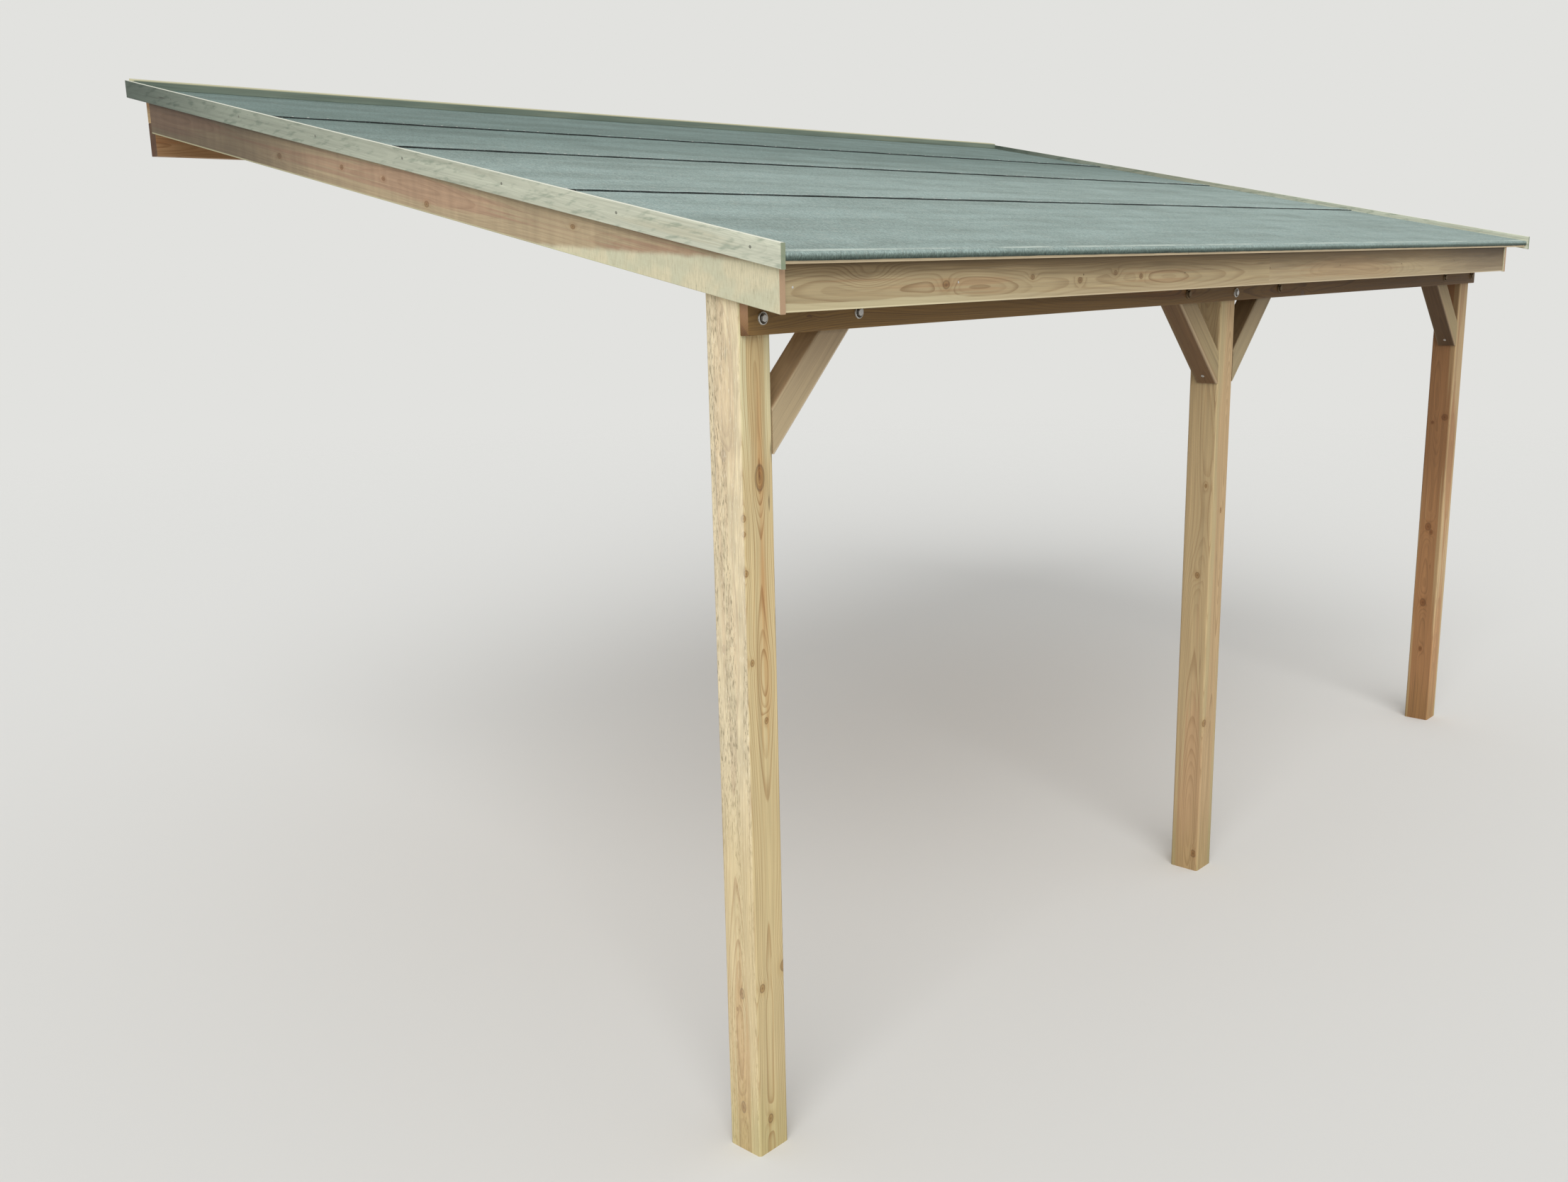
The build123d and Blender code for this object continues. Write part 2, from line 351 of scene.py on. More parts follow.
def knot_group():
    """A knot that grows straight out from the pith through a given point of the surface.

    Grain coordinates have the pith along z. The sideways distance is the radius times the chord between the
    two unit directions, and the distance is in half sizes of the knot. The shift is a bell curve drawn out
    along the grain and added to the rings' radius. Below zero it closes them above and below the knot."""
    inputs = {"Vector": ("Vector", None), "Centre": ("Vector", None), "Half width": ("Float", 0.01),
              "Half length": ("Float", 0.014), "Bulge": ("Float", 0.009), "Reach": ("Float", 3.0)}
    graph, given, result = new_group("knot", inputs, {"Distance": "Float", "Shift": "Float"})
    flat = (1.0, 1.0, 0.0)
    here = graph.tint(given["Vector"], flat)
    there = graph.vector("NORMALIZE", graph.tint(given["Centre"], flat))
    chord = graph.vector("DISTANCE", graph.vector("NORMALIZE", here), there)
    sideways = graph.div(graph.mul(chord, graph.vector("LENGTH", here)), given["Half width"])
    rise = graph.sub(graph.split(given["Vector"])[2], graph.split(given["Centre"])[2])
    along = graph.div(rise, given["Half length"])
    graph.feed(result["Distance"], graph.vector("LENGTH", graph.join(sideways, along, 0.0)))
    drawn = graph.join(graph.div(sideways, 2.2), graph.div(along, given["Reach"]), 0.0)
    bell = graph.math("EXPONENT", graph.mul(graph.vector("DOT_PRODUCT", drawn, drawn), -1.0))
    graph.feed(result["Shift"], graph.mul(bell, given["Bulge"]))
    return graph.tree


def pine_group(grain):
    """Pine sawn from a round log, in grain coordinates with the pith along z.

    The radius from a pith that wanders along the log, plus the shift round each knot, is divided by the ring
    spacing. The fraction left over darkens slowly through a ring and drops sharply at its end. Knots run out
    from the pith along random directions. Fibres, broad streaks, heartwood, grime and drying cracks are
    noises drawn out along the grain. The ends of a timber are darker."""
    inputs = {"Vector": ("Vector", None), "Seed": ("Float", 0.0), "Axis": ("Vector", None),
              "Marked knot": ("Float", NO_KNOT), "Marked shift": ("Float", 0.0), "Knots": ("Float", 0.3),
              "Sapwood": ("Color", None), "Heartwood": ("Color", None), "Late wood": ("Color", None),
              "Heart radius": ("Float", 0.05), "Grime": ("Float", 0.3), "Ring strength": ("Float", 0.6)}
    outputs = {"Color": "Color", "Roughness": "Float", "Height": "Float"}
    graph, given, result = new_group("pine", inputs, outputs)
    x, y, z = graph.split(given["Vector"])
    log = graph.mul_add(given["Seed"], 7.31, z)

    slow = graph.noise(graph.join(0.37, given["Seed"], graph.mul(log, 0.95)), 1.0, 0.5, "Color")
    quick = graph.stretched(x, y, log, 15.0, 1.8, 2.0, 0.5, "Color")
    half = (0.5, 0.5, 0.5)
    stray = graph.vector("ADD", graph.grey(graph.vector("SUBTRACT", slow, half), grain.wander * 2),
                         graph.grey(graph.vector("SUBTRACT", quick, half), 0.006))
    across = graph.tint(graph.vector("ADD", graph.join(x, y, 0.0), stray), (1.0, 1.0, 0.0))
    radius = graph.vector("LENGTH", across)
    way = graph.vector("NORMALIZE", across)

    # Random knots: the nearest seed point in a space of direction and length
    way_cells, length_cells = 1.25, 2.1
    way_x, way_y, _ = graph.split(way)
    cell = graph.join(graph.mul(way_x, way_cells), graph.mul(way_y, way_cells),
                      graph.mul(log, length_cells))
    nearest = graph.node("ShaderNodeTexVoronoi", {"Vector": cell, "Scale": 1.0}, feature="F1")
    chance_size, chance_there, _ = graph.split(nearest.outputs["Color"])
    size = graph.mul_add(chance_size, 0.011, 0.005)
    seed_x, seed_y, seed_z = graph.split(nearest.outputs["Position"])
    place = graph.join(graph.mul(way_x, radius), graph.mul(way_y, radius), log)
    centre = graph.join(seed_x, seed_y, graph.div(seed_z, length_cells))
    knot = graph.group("knot", {"Vector": place, "Centre": centre, "Half width": size,
                                "Half length": graph.mul(size, 1.35), "Bulge": graph.mul(size, 0.8)})
    there = graph.math("LESS_THAN", chance_there, given["Knots"])
    missing = graph.mul(graph.sub(1.0, there), NO_KNOT)
    random_knot = graph.add(knot.outputs["Distance"], missing)
    distance = graph.math("MINIMUM", random_knot, given["Marked knot"])
    shift = graph.mul_add(knot.outputs["Shift"], there, given["Marked shift"])

    # Growth rings
    swelling = graph.noise(graph.join(graph.mul(radius, 26.0), given["Seed"], 0.0), 1.0)
    count = graph.div(graph.add(radius, shift), grain.ring_spacing)
    count = graph.mul_add(swelling, 5.0, count)
    part = graph.math("FRACT", count)
    ring_chance = graph.node("ShaderNodeTexWhiteNoise", {"W": graph.math("FLOOR", count)},
                             noise_dimensions="1D")
    strength = graph.mul_add(ring_chance.outputs["Value"], 0.75, 0.35)
    late = graph.mul(graph.ramp(part, 0.38, 0.92), graph.ramp(part, 1.0, 0.92))
    late = graph.mul(late, strength, given["Ring strength"])

    fibre = graph.stretched(x, y, log, 420.0, 5.0)
    streak = graph.stretched(x, y, log, 75.0, 1.3)
    patch = graph.stretched(x, y, log, 11.0, 1.6)
    heart = graph.add(radius, graph.mul(graph.sub(streak, 0.5), 0.05))
    heart = graph.sub(heart, given["Heart radius"])
    wood = graph.mix(graph.ramp(heart, 0.006, -0.006), given["Sapwood"], given["Heartwood"])
    rings = graph.mul(late, graph.mul_add(patch, 0.9, 0.35))
    wood = graph.mix(rings, wood, given["Late wood"])
    tones = graph.mul(graph.shade(fibre, 0.13), graph.shade(streak, 0.10))
    wood = graph.grey(wood, graph.mul(tones, graph.shade(patch, 0.06)))

    # Grey streaks and drying cracks
    dirt = graph.mul_add(fibre, 0.35, graph.stretched(x, y, log, 46.0, 0.8, 3.0, 0.6))
    dirt = graph.mul(graph.ramp(dirt, 0.70, 0.92), given["Grime"])
    wood = graph.stain(dirt, wood, (0.52, 0.50, 0.47))
    crack = graph.math("ABSOLUTE", graph.sub(graph.stretched(x, y, log, 30.0, 0.45, 1.0), 0.5))
    crack = graph.mul(graph.ramp(crack, 0.006, 0.002), graph.ramp(patch, 0.56, 0.62))
    crack = graph.mul(crack, graph.mul(given["Grime"], 1.2))
    wood = graph.coat(crack, wood, 74, 56, 38)

    # Knots: a little darker than the wood, with rings of their own, a thin dark rim and a redder halo
    core = graph.ramp(distance, 1.05, 0.85)
    turns = graph.math("SINE", graph.mul(distance, 19.0))
    knot_wood = graph.mix(graph.mul_add(turns, 0.22, 0.52), graph.tint(wood, (0.86, 0.74, 0.58)),
                          graph.tint(wood, (0.50, 0.38, 0.28)))
    knot_wood = graph.mix(graph.ramp(distance, 0.42, 0.12), knot_wood, graph.tint(wood, (0.46, 0.36, 0.26)))
    rim = graph.mul(graph.ramp(distance, 0.78, 1.0), graph.ramp(distance, 1.22, 1.0))
    halo = graph.mul(graph.ramp(distance, 2.6, 1.0), 0.30)
    wood = graph.stain(halo, wood, (0.84, 0.70, 0.52))
    wood = graph.mix(core, wood, knot_wood)
    wood = graph.coat(graph.mul(rim, 0.55), wood, 84, 58, 38)

    # End grain
    facing = graph.vector("DOT_PRODUCT", graph.node("ShaderNodeNewGeometry").outputs["Normal"],
                          given["Axis"])
    end = graph.ramp(graph.math("ABSOLUTE", facing), 0.75, 0.92)
    wood = graph.stain(end, wood, (0.84, 0.78, 0.72))

    graph.feed(result["Color"], wood)
    rough = graph.mul_add(fibre, 0.22, 0.52)
    graph.feed(result["Roughness"], graph.mul_add(core, -0.15, rough))
    height = graph.mul_add(late, -0.5, graph.mul(fibre, 0.5))
    graph.feed(result["Height"], graph.mul_add(crack, -1.5, height))
    return graph.tree


def new_material(name):
    """A material with its graph, its shader node and Object coordinates."""
    made = bpy.data.materials.new(name)
    made.use_nodes = True
    graph = Graph(made.node_tree)
    shader = made.node_tree.nodes["Principled BSDF"]
    place = graph.node("ShaderNodeTexCoord").outputs["Object"]
    return made, graph, shader, place


def pine_node(graph, finish, axis, seed):
    """The pine group fed from a finish, with its vector still open."""
    return graph.group("pine", {
        "Seed": float(seed), "Axis": axis, "Knots": finish.knots, "Grime": finish.grime,
        "Heart radius": finish.heart_radius, "Ring strength": finish.ring_strength,
        "Sapwood": opaque(finish.sap), "Heartwood": opaque(finish.heart), "Late wood": opaque(finish.ring)})


def finish_shader(graph, shader, pine, rgb, relief):
    """Carry the pine group's outputs to the shader."""
    graph.feed(shader.inputs["Base Color"], rgb)
    graph.feed(shader.inputs["Roughness"], pine.outputs["Roughness"])
    shader.inputs["Specular IOR Level"].default_value = 0.35
    graph.bump(shader, pine.outputs["Height"], relief, 0.0008)


def pine_material(name, finish, grain, axis, side, pith, seed, knots=(), paint=None):
    """Pine for one timber: axis is the grain, side is square to it, and pith is a point of the log's middle.

    Each marked knot is (point, half width, half length, bulge, reach, shown). paint(graph, colour, place)
    may lay stains over the wood."""
    axis, side = Vector(axis).normalized(), Vector(side).normalized()
    turn = Matrix((side, axis.cross(side), axis))
    made, graph, shader, place = new_material(name)
    along_grain = graph.seen_from(place, pith, turn)
    pine = pine_node(graph, finish, axis, seed)
    graph.feed(pine.inputs["Vector"], along_grain)
    distance, shift = NO_KNOT, 0.0
    for point, half_width, half_length, bulge, reach, shown in knots:
        knot = graph.group("knot", {"Vector": along_grain, "Centre": turn @ (point - pith),
                                    "Half width": half_width, "Half length": half_length,
                                    "Bulge": bulge, "Reach": reach})
        if shown:
            distance = graph.math("MINIMUM", distance, knot.outputs["Distance"])
        shift = graph.add(shift, knot.outputs["Shift"])
    graph.feed(pine.inputs["Marked knot"], distance)
    graph.feed(pine.inputs["Marked shift"], shift)
    rgb = pine.outputs["Color"]
    if paint:
        rgb = paint(graph, rgb, place)
    finish_shader(graph, shader, pine, rgb, grain.relief)
    return made


def wear(node, material):
    """Give a node's object its material."""
    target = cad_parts[node]
    for place in target.material_slots:
        place.material = material


def uphill():
    """The direction straight up the slope."""
    pitch = bpy.context.scene.carport_felt.pitch
    return 0, math.cos(pitch), math.sin(pitch)


def dress(node, finish, axis, side, offset, seed, knots=(), paint=None):
    """Give a node pine of a finish, with the pith at the middle of its box moved by an offset."""
    low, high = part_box(node)
    pith = (low + high) / 2 + Vector(offset)
    grain = bpy.context.scene.carport_grain
    wear(node, pine_material("pine_" + node, finish, grain, axis, side, pith, seed, knots, paint))


# Meshes

def grid_faces(rows, columns, wrap_rows=False, wrap_columns=False):
    """Quads of a grid of points numbered row by row; a wrapped side joins its last points to its first."""
    row = np.arange(rows if wrap_rows else rows - 1)[:, None]
    column = np.arange(columns if wrap_columns else columns - 1)[None, :]
    row_next, column_next = (row + 1) % rows, (column + 1) % columns
    corners = [row * columns + column, row * columns + column_next,
               row_next * columns + column_next, row_next * columns + column]
    return np.stack(np.broadcast_arrays(*corners), axis=-1).reshape(-1, 4)


def build_piece(name, points, faces, materials, marks=None, crisp=35):
    """Mesh object at the origin: doubles merged, faces turned outwards, smooth but for crisp edges."""
    mesh = bpy.data.meshes.new(name)
    mesh.from_pydata(points.reshape(-1, 3).tolist(), [], faces.tolist())
    if marks is not None:
        mesh.polygons.foreach_set("material_index", marks.astype(np.int32))
    for material in materials:
        mesh.materials.append(material)
    work = bmesh.new()
    work.from_mesh(mesh)
    bmesh.ops.remove_doubles(work, verts=work.verts, dist=1e-6)
    bmesh.ops.dissolve_degenerate(work, edges=work.edges, dist=1e-7)
    bmesh.ops.recalc_face_normals(work, faces=work.faces)
    work.to_mesh(mesh)
    work.free()
    mesh.polygons.foreach_set("use_smooth", np.ones(len(mesh.polygons), bool))
    mesh.set_sharp_from_angle(angle=math.radians(crisp))
    piece = bpy.data.objects.new(name, mesh)
    bpy.context.scene.collection.objects.link(piece)
    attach(piece, "root")
    return piece


def waves(x, y, lengths, seed):
    """Mean of sine waves of the given lengths, each along its own random direction, between -1 and 1."""
    chance = np.random.default_rng(seed)
    total = 0
    for size in lengths:
        angle, phase = chance.uniform(-0.9, 0.9), chance.uniform(0, 2 * np.pi)
        total = total + np.sin(2 * np.pi * (x * np.cos(angle) + y * np.sin(angle)) / size + phase)
    return total / len(lengths)


def boards_edge(pitch):
    """The y and z of the roof boards' lower edge at the eave."""
    return ROOF_EDGE.y + BOARD_THICK * math.sin(pitch), ROOF_EDGE.z


def roof_ripple(felt, x, along):
    """Height of the soft ripples that all courses share."""
    return felt.ripple * (1 + waves(x, along, RIPPLE_LENGTHS, 5)) / 2


def roof_points(x, along, above, pitch):
    """Points from x, the distance up the slope and the height square above the boards' underside.

    y = edge + along cos - above sin, z = edge + along sin + above cos."""
    cos, sin = math.cos(pitch), math.sin(pitch)
    edge_y, edge_z = boards_edge(pitch)
    x, along, above = np.broadcast_arrays(x, along, above)
    return np.stack([x, edge_y + along * cos - above * sin, edge_z + along * sin + above * cos], axis=-1)


def turned(profile, radius_at, places, outward, sideways, sides, mark=0):
    """Surfaces of revolution, one at each place, as (points, faces, material number).

    A profile point is (radius, height); the point at an angle lies at place + height outward +
    radius_at(radius, height, angle) (cos sideways + sin upward)."""
    angle = np.linspace(0, 2 * np.pi, sides, endpoint=False)[None, :]
    radius, height = np.array(profile, float).T[:, :, None]
    reach = radius_at(radius, height, angle)
    outward, sideways = np.array(outward, float), np.array(sideways, float)
    upward = np.cross(outward, sideways)
    shape = (height[..., None] * outward + (reach * np.cos(angle))[..., None] * sideways
             + (reach * np.sin(angle))[..., None] * upward)
    points = np.array(places, float)[:, None, None, :] + shape[None]
    one = grid_faces(len(profile), sides, wrap_columns=True)
    step = len(profile) * sides
    faces = (one[None] + np.arange(len(places))[:, None, None] * step).reshape(-1, 4)
    return points.reshape(-1, 3), faces, mark


def round_shape(radius, height, angle):
    """A plain circle."""
    return radius + 0 * angle


def hexagon(apothem, top):
    """A hexagon whose corners are cut by a 30 degree cone from its top; zero radius stays at the axis."""
    def reach(radius, height, angle):
        turn = (angle + np.pi / 6) % (np.pi / 3) - np.pi / 6
        cone = apothem * 0.96 + (top - height) * math.sqrt(3)
        return np.where(radius > 0, np.minimum(apothem / np.cos(turn), cone), 0 * angle)
    return reach


def stack_shapes(shapes):
    """Join several (points, faces, material number) into one set."""
    points, faces, marks, start = [], [], [], 0
    for shape_points, shape_faces, mark in shapes:
        points.append(shape_points)
        faces.append(shape_faces + start)
        marks.append(np.full(len(shape_faces), mark))
        start += len(shape_points)
    return np.concatenate(points), np.concatenate(faces), np.concatenate(marks)


# Metal

def metal_material(name, rgb, roughness):
    """Zinc or steel gone dull: metal whose colour and roughness are blotched by two noises."""
    made, graph, shader, place = new_material(name)
    x, y, z = graph.split(place)
    blotch = graph.stretched(x, y, z, 260.0, 260.0, 3.0, 0.6)
    grain = graph.stretched(x, y, z, 1400.0, 1400.0, 1.0)
    tones = graph.mul(graph.shade(blotch, 0.28), graph.shade(grain, 0.10))
    plain = graph.node("ShaderNodeRGB")
    plain.outputs[0].default_value = opaque(rgb)
    graph.feed(shader.inputs["Base Color"], graph.grey(plain.outputs[0], tones))
    graph.feed(shader.inputs["Roughness"], graph.mul_add(blotch, 0.4, roughness - 0.2))
    shader.inputs["Metallic"].default_value = 0.85
    graph.bump(shader, blotch, 0.3, 0.0004)
    return made


# The colour property and roughness of each metal
METALS = {"zinc": ("zinc", 0.50), "bright_steel": ("heads", 0.42), "shaded_zinc": ("dull", 0.60),
          "shaded_dish_steel": ("steel", 0.48)}


def metal_of(fixings, name):
    """The material of a metal, made when it is first asked for."""
    key, roughness = METALS[name]
    return bpy.data.materials.get(name) or metal_material(name, getattr(fixings, key), roughness)


# Timber

def knots_at(rows):
    """Marked knots from rows of yard millimetres: point, half width, half length and bulge.

    A row may go on with the bulge's reach in half lengths, and with whether the knot itself shows."""
    made = []
    for x, y, z, half_width, half_length, bulge, *more in rows:
        reach, shown = more or (3.0, True)
        point = yard(x / 1000, y / 1000, z / 1000)
        made.append((point, half_width / 1000, half_length / 1000, bulge / 1000, reach, shown))
    return made


# Colour factors of each brace all over and on its sloping faces, the sloping ones a painted shade, and how
# far its lower arris is worn
BRACE_TINTS = {
    "brace_near": ((0.98, 1.00, 1.04), (0.88, 0.80, 0.72), 0.60),
    "brace_middle_near": ((0.80, 0.80, 0.72), (0.52, 0.44, 0.38), 0.22),
    "brace_middle_far": ((0.72, 0.74, 0.73), (0.46, 0.40, 0.33), 0.15),
    "brace_far": ((0.70, 0.70, 0.62), (0.36, 0.30, 0.26), 0.15),
}
NEAR_POST_KNOTS = [
    (63, 0, 1894, 16, 32, -10),
    (64, 0, 1940, 15, 125, -13, 2.4, False),
    (0, 64, 1952, 9, 14, 6),
    (0, 64, 1515, 4, 6, 3),
    (0, 83, 1445, 5, 12, 4),
    (0, 60, 132, 8, 17, 6),
    (3, 3, 1797, 6, 9, 4),
    (3, 3, 1757, 5, 7, 3),
    (19, 0, 1418, 6, 9, 4),
    (71, 0, 1384, 14, 40, -9, 2.4, False),
    (0, 53, 479, 8, 15, 7),
    (0, 73, 426, 3, 6, 2),
    (25, 0, 502, 8, 12, 7),
    (50, 0, 490, 14, 102, -12, 2.4, False),
    (0, 55, 500, 13, 95, -10, 2.4, False),
    (45, 0, 100, 9, 13, 6),
]
MIDDLE_POST_KNOTS = [
    (2550, 50, 1210, 9, 12, 6),
    (2550, 30, 1560, 5, 8, 5),
    (2620, 0, 1460, 6, 10, 6),
    (2560, 0, 620, 8, 14, 6),
    (2575, 0, 1100, 14, 50, 9, 2.4, False),
]
FAR_POST_KNOTS = [
    (5100, 27, 1590, 12, 15, 8),
    (5100, 84, 1561, 6, 8, 5),
    (5100, 50, 1000, 8, 13, 6),
    (5100, 60, 380, 8, 12, 6),
]
FASCIA_KNOTS = [
    (318, -153, 2390, 13, 42, 21, 2.4, False),
    (642, -153, 2356, 11, 15, 12, 3.2, True),
    (1058, -153, 2367, 7, 10, 6),
    (1521, -153, 2370, 7, 10, 6),
    (1680, -153, 2356, 8, 11, 6),
]
BARGE_KNOTS = [
    (-20, 583, 2527, 6, 9, 6),
    (-20, 1244, 2611, 8, 11, 7),
    (-20, 1460, 2694, 6, 9, 6),
    (-20, 1687, 2740, 7, 9, 6),
    (-20, 2057, 2796, 8, 11, 7),
]


def damp_foot(graph, rgb, place):
    """Greyish green that creeps up the foot of a post."""
    x, y, z = graph.split(place)
    creep = graph.stretched(x, y, z, 30.0, 4.0, 3.0, 0.6)
    height = graph.add(graph.sub(z, YARD.z), graph.mul(creep, -0.35))
    foot = graph.mul(graph.ramp(height, 0.14, -0.16), 0.55)
    return graph.stain(foot, rgb, (0.72, 0.78, 0.62))


def post_light_and_shade(factor, shaded=(1, 1, 1)):
    """Paint for a post with a damp foot, a head that may be shaded and an outer face tinted by a factor."""
    def paint(graph, rgb, place):
        # Painted shade on the head, then painted light on the outer face
        head = graph.ramp(graph.split(place)[2], YARD.z + 1.1, YARD.z + 1.45)
        rgb = graph.stain(head, rgb, shaded)
        normal_y = graph.normal()[1]
        facing = graph.ramp(normal_y, -0.35, -0.95)
        rgb = graph.stain(facing, rgb, factor)
        return damp_foot(graph, rgb, place)
    return paint


def brace_shade_and_wear(node, lean):
    """Paint for a brace: browner on the faces that look down or up, and pale along its worn lower arris.

    The braces at the middle and far posts have gone darker than the near one."""
    low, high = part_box(node)
    foot = low.x if lean > 0 else high.x
    all_over, sloping, worn_share = BRACE_TINTS[node]

    def paint(graph, rgb, place):
        x, y, z = graph.split(place)
        rgb = graph.tint(rgb, all_over)
        normal_y, normal_z = graph.normal()[1:]
        # Painted shade: the faces that look down or up darkened by the sloping factors
        sides = graph.ramp(graph.math("ABSOLUTE", normal_z), 0.45, 0.68)
        rgb = graph.stain(sides, rgb, sloping)
        # Painted light: the outer face lighter towards its lower end
        lower = graph.ramp(z, low.z + 0.30, low.z + 0.06)
        outer = graph.ramp(normal_y, -0.6, -0.95)
        lower = graph.mul(lower, outer, 0.7)
        rgb = graph.stain(lower, rgb, (1.32, 1.40, 1.36))
        run = graph.mul(graph.sub(x, foot), lean)
        above = graph.sub(graph.sub(z, low.z - 0.010), run)
        front = graph.ramp(y, low.y + 0.009, low.y + 0.004)
        worn = graph.mul(front, graph.ramp(above, 0.0150, 0.0085), worn_share)
        return graph.coat(worn, rgb, 218, 200, 172)
    return paint


def weathered_near_post(graph, rgb, place):
    """The near post's end face washed to cream with fine upright grey flecks, over the damp foot."""
    x, y, z = graph.split(place)
    normal_x = graph.normal()[0]
    facing = graph.ramp(normal_x, -0.45, -0.95)
    cream = graph.coat(0.55, rgb, 222, 210, 183)
    fleck = graph.stretched(x, y, z, 280.0, 42.0, 3.0, 0.6)
    patch = graph.stretched(x, y, z, 30.0, 1.5, 2.0)
    wallside = graph.ramp(y, YARD.y + 0.02, YARD.y + 0.10)
    patch = graph.mul_add(wallside, 0.12, patch)
    dark = graph.mul(graph.ramp(fleck, 0.52, 0.62), graph.ramp(patch, 0.50, 0.62))
    cloud = graph.stretched(x, y, z, 60.0, 11.0, 3.0, 0.6)
    cream = graph.grey(cream, graph.shade(cloud, 0.20))
    cream = graph.coat(graph.mul(dark, 0.72), cream, 130, 119, 95)
    pale = graph.mul(graph.ramp(fleck, 0.42, 0.30), 0.6)
    cream = graph.coat(pale, cream, 236, 226, 200)
    low = graph.ramp(z, YARD.z + 1.25, YARD.z + 0.75)
    facing = graph.mul(facing, graph.mul_add(low, -0.65, 1.0))
    high = graph.mul(graph.ramp(z, YARD.z + 1.85, YARD.z + 2.10), 0.8)
    rgb = graph.stain(high, rgb, (1.10, 1.26, 1.42))
    outer = graph.ramp(graph.normal()[1], -0.6, -0.95)
    centre = graph.math("ABSOLUTE", graph.sub(x, YARD.x + 0.066))
    streak = graph.mul(graph.ramp(centre, 0.013, 0.002), graph.ramp(z, YARD.z + 2.24, YARD.z + 2.05))
    streak = graph.mul(streak, graph.ramp(z, YARD.z + 1.44, YARD.z + 1.62))
    streak = graph.mul(streak, outer, 0.45)
    rgb = graph.stain(streak, rgb, (1.0, 0.76, 0.62))
    return damp_foot(graph, graph.mix(facing, rgb, cream), place)


def fascia_shade_and_pale_edge(graph, rgb, place):
    """The fascia dark under the eave, with a strip of pale sapwood along its lower edge."""
    low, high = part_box("fascia_near")
    x, y, z = graph.split(place)
    ragged = graph.sub(graph.stretched(y, z, x, 60.0, 4.0), 0.5)
    height = graph.sub(z, low.z)
    far = graph.ramp(x, YARD.x + 0.4, YARD.x + 1.6)
    # Painted shadow of the eave and the felt roll: dark at the top, deeper further along the bay
    drop = graph.mul_add(ragged, 0.030, graph.sub(high.z, z))
    drop = graph.mul(drop, graph.mul_add(far, -0.30, 1.0))
    rgb = graph.stain(graph.ramp(drop, 0.060, 0.012), rgb, (0.34, 0.29, 0.22))
    # Painted shade: a little darker along the bay and much darker at the far end
    rgb = graph.stain(far, rgb, (0.95, 0.94, 0.93))
    rgb = graph.stain(graph.ramp(x, YARD.x + 4.0, YARD.x + 5.1), rgb, (0.56, 0.54, 0.55))
    wave = graph.mul_add(ragged, 0.024, height)
    strip = graph.mul(graph.ramp(wave, 0.0225, 0.0170), graph.mul_add(far, -0.30, 0.55))
    pale = graph.coat(far, opaque(colour(208, 198, 160)), 190, 172, 140)
    rgb = graph.mix(strip, rgb, pale)
    # Painted highlight along the lower arris
    pale = graph.coat(far, opaque(colour(232, 220, 182)), 214, 196, 162)
    return graph.mix(graph.mul(graph.ramp(height, 0.0050, 0.0025), 0.7), rgb, pale)


def barge_weathering_and_shade(graph, rgb, place):
    """The barge board's eave end washed pale below a nearly level line, with short upright flecks."""
    y, z = graph.split(place)[1:]
    line = graph.mul_add(graph.sub(y, YARD.y + 0.1), 0.066, YARD.z + 2.4435)
    ragged = graph.mul(graph.sub(graph.noise(graph.grey(place, 28.0), 3.0), 0.5), 0.014)
    below = graph.add(graph.sub(line, z), ragged)
    washed = graph.ramp(below, -0.008, 0.010)
    upright = graph.noise(graph.tint(place, (60.0, 300.0, 44.0)), 3.0, 0.6)
    blotch = graph.noise(graph.grey(place, 13.0), 2.0)
    pale = graph.coat(graph.ramp(blotch, 0.40, 0.62), opaque(colour(214, 206, 174)), 200, 200, 172)
    pale = graph.coat(graph.mul(graph.ramp(upright, 0.42, 0.62), 0.5), pale, 182, 178, 148)
    pale = graph.coat(graph.ramp(upright, 0.68, 0.76), pale, 120, 122, 104)
    brushed = graph.noise(graph.tint(place, (9.0, 34.0, 7.0)), 2.0)
    rgb = graph.grey(rgb, graph.shade(brushed, 0.09))
    rgb = graph.mix(graph.mul(washed, 0.88), rgb, pale)
    # Painted shade from the wall: darker towards the wall end
    wallward = graph.ramp(y, YARD.y + 1.45, YARD.y + 2.4)
    rgb = graph.stain(wallward, rgb, (0.34, 0.33, 0.33))
    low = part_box("barge_board_near")[0]
    rise = graph.mul(graph.sub(y, low.y), math.tan(PITCH))
    height = graph.sub(graph.sub(z, low.z), rise)
    arris = graph.mul(graph.ramp(height, 0.0060, 0.0030), graph.ramp(y, YARD.y + 0.1, YARD.y + 0.5))
    rgb = graph.coat(graph.mul(arris, 0.5), rgb, 202, 200, 162)
    facing = graph.normal()[1]
    return graph.coat(graph.ramp(facing, -0.7, -0.95), rgb, 178, 148, 118)


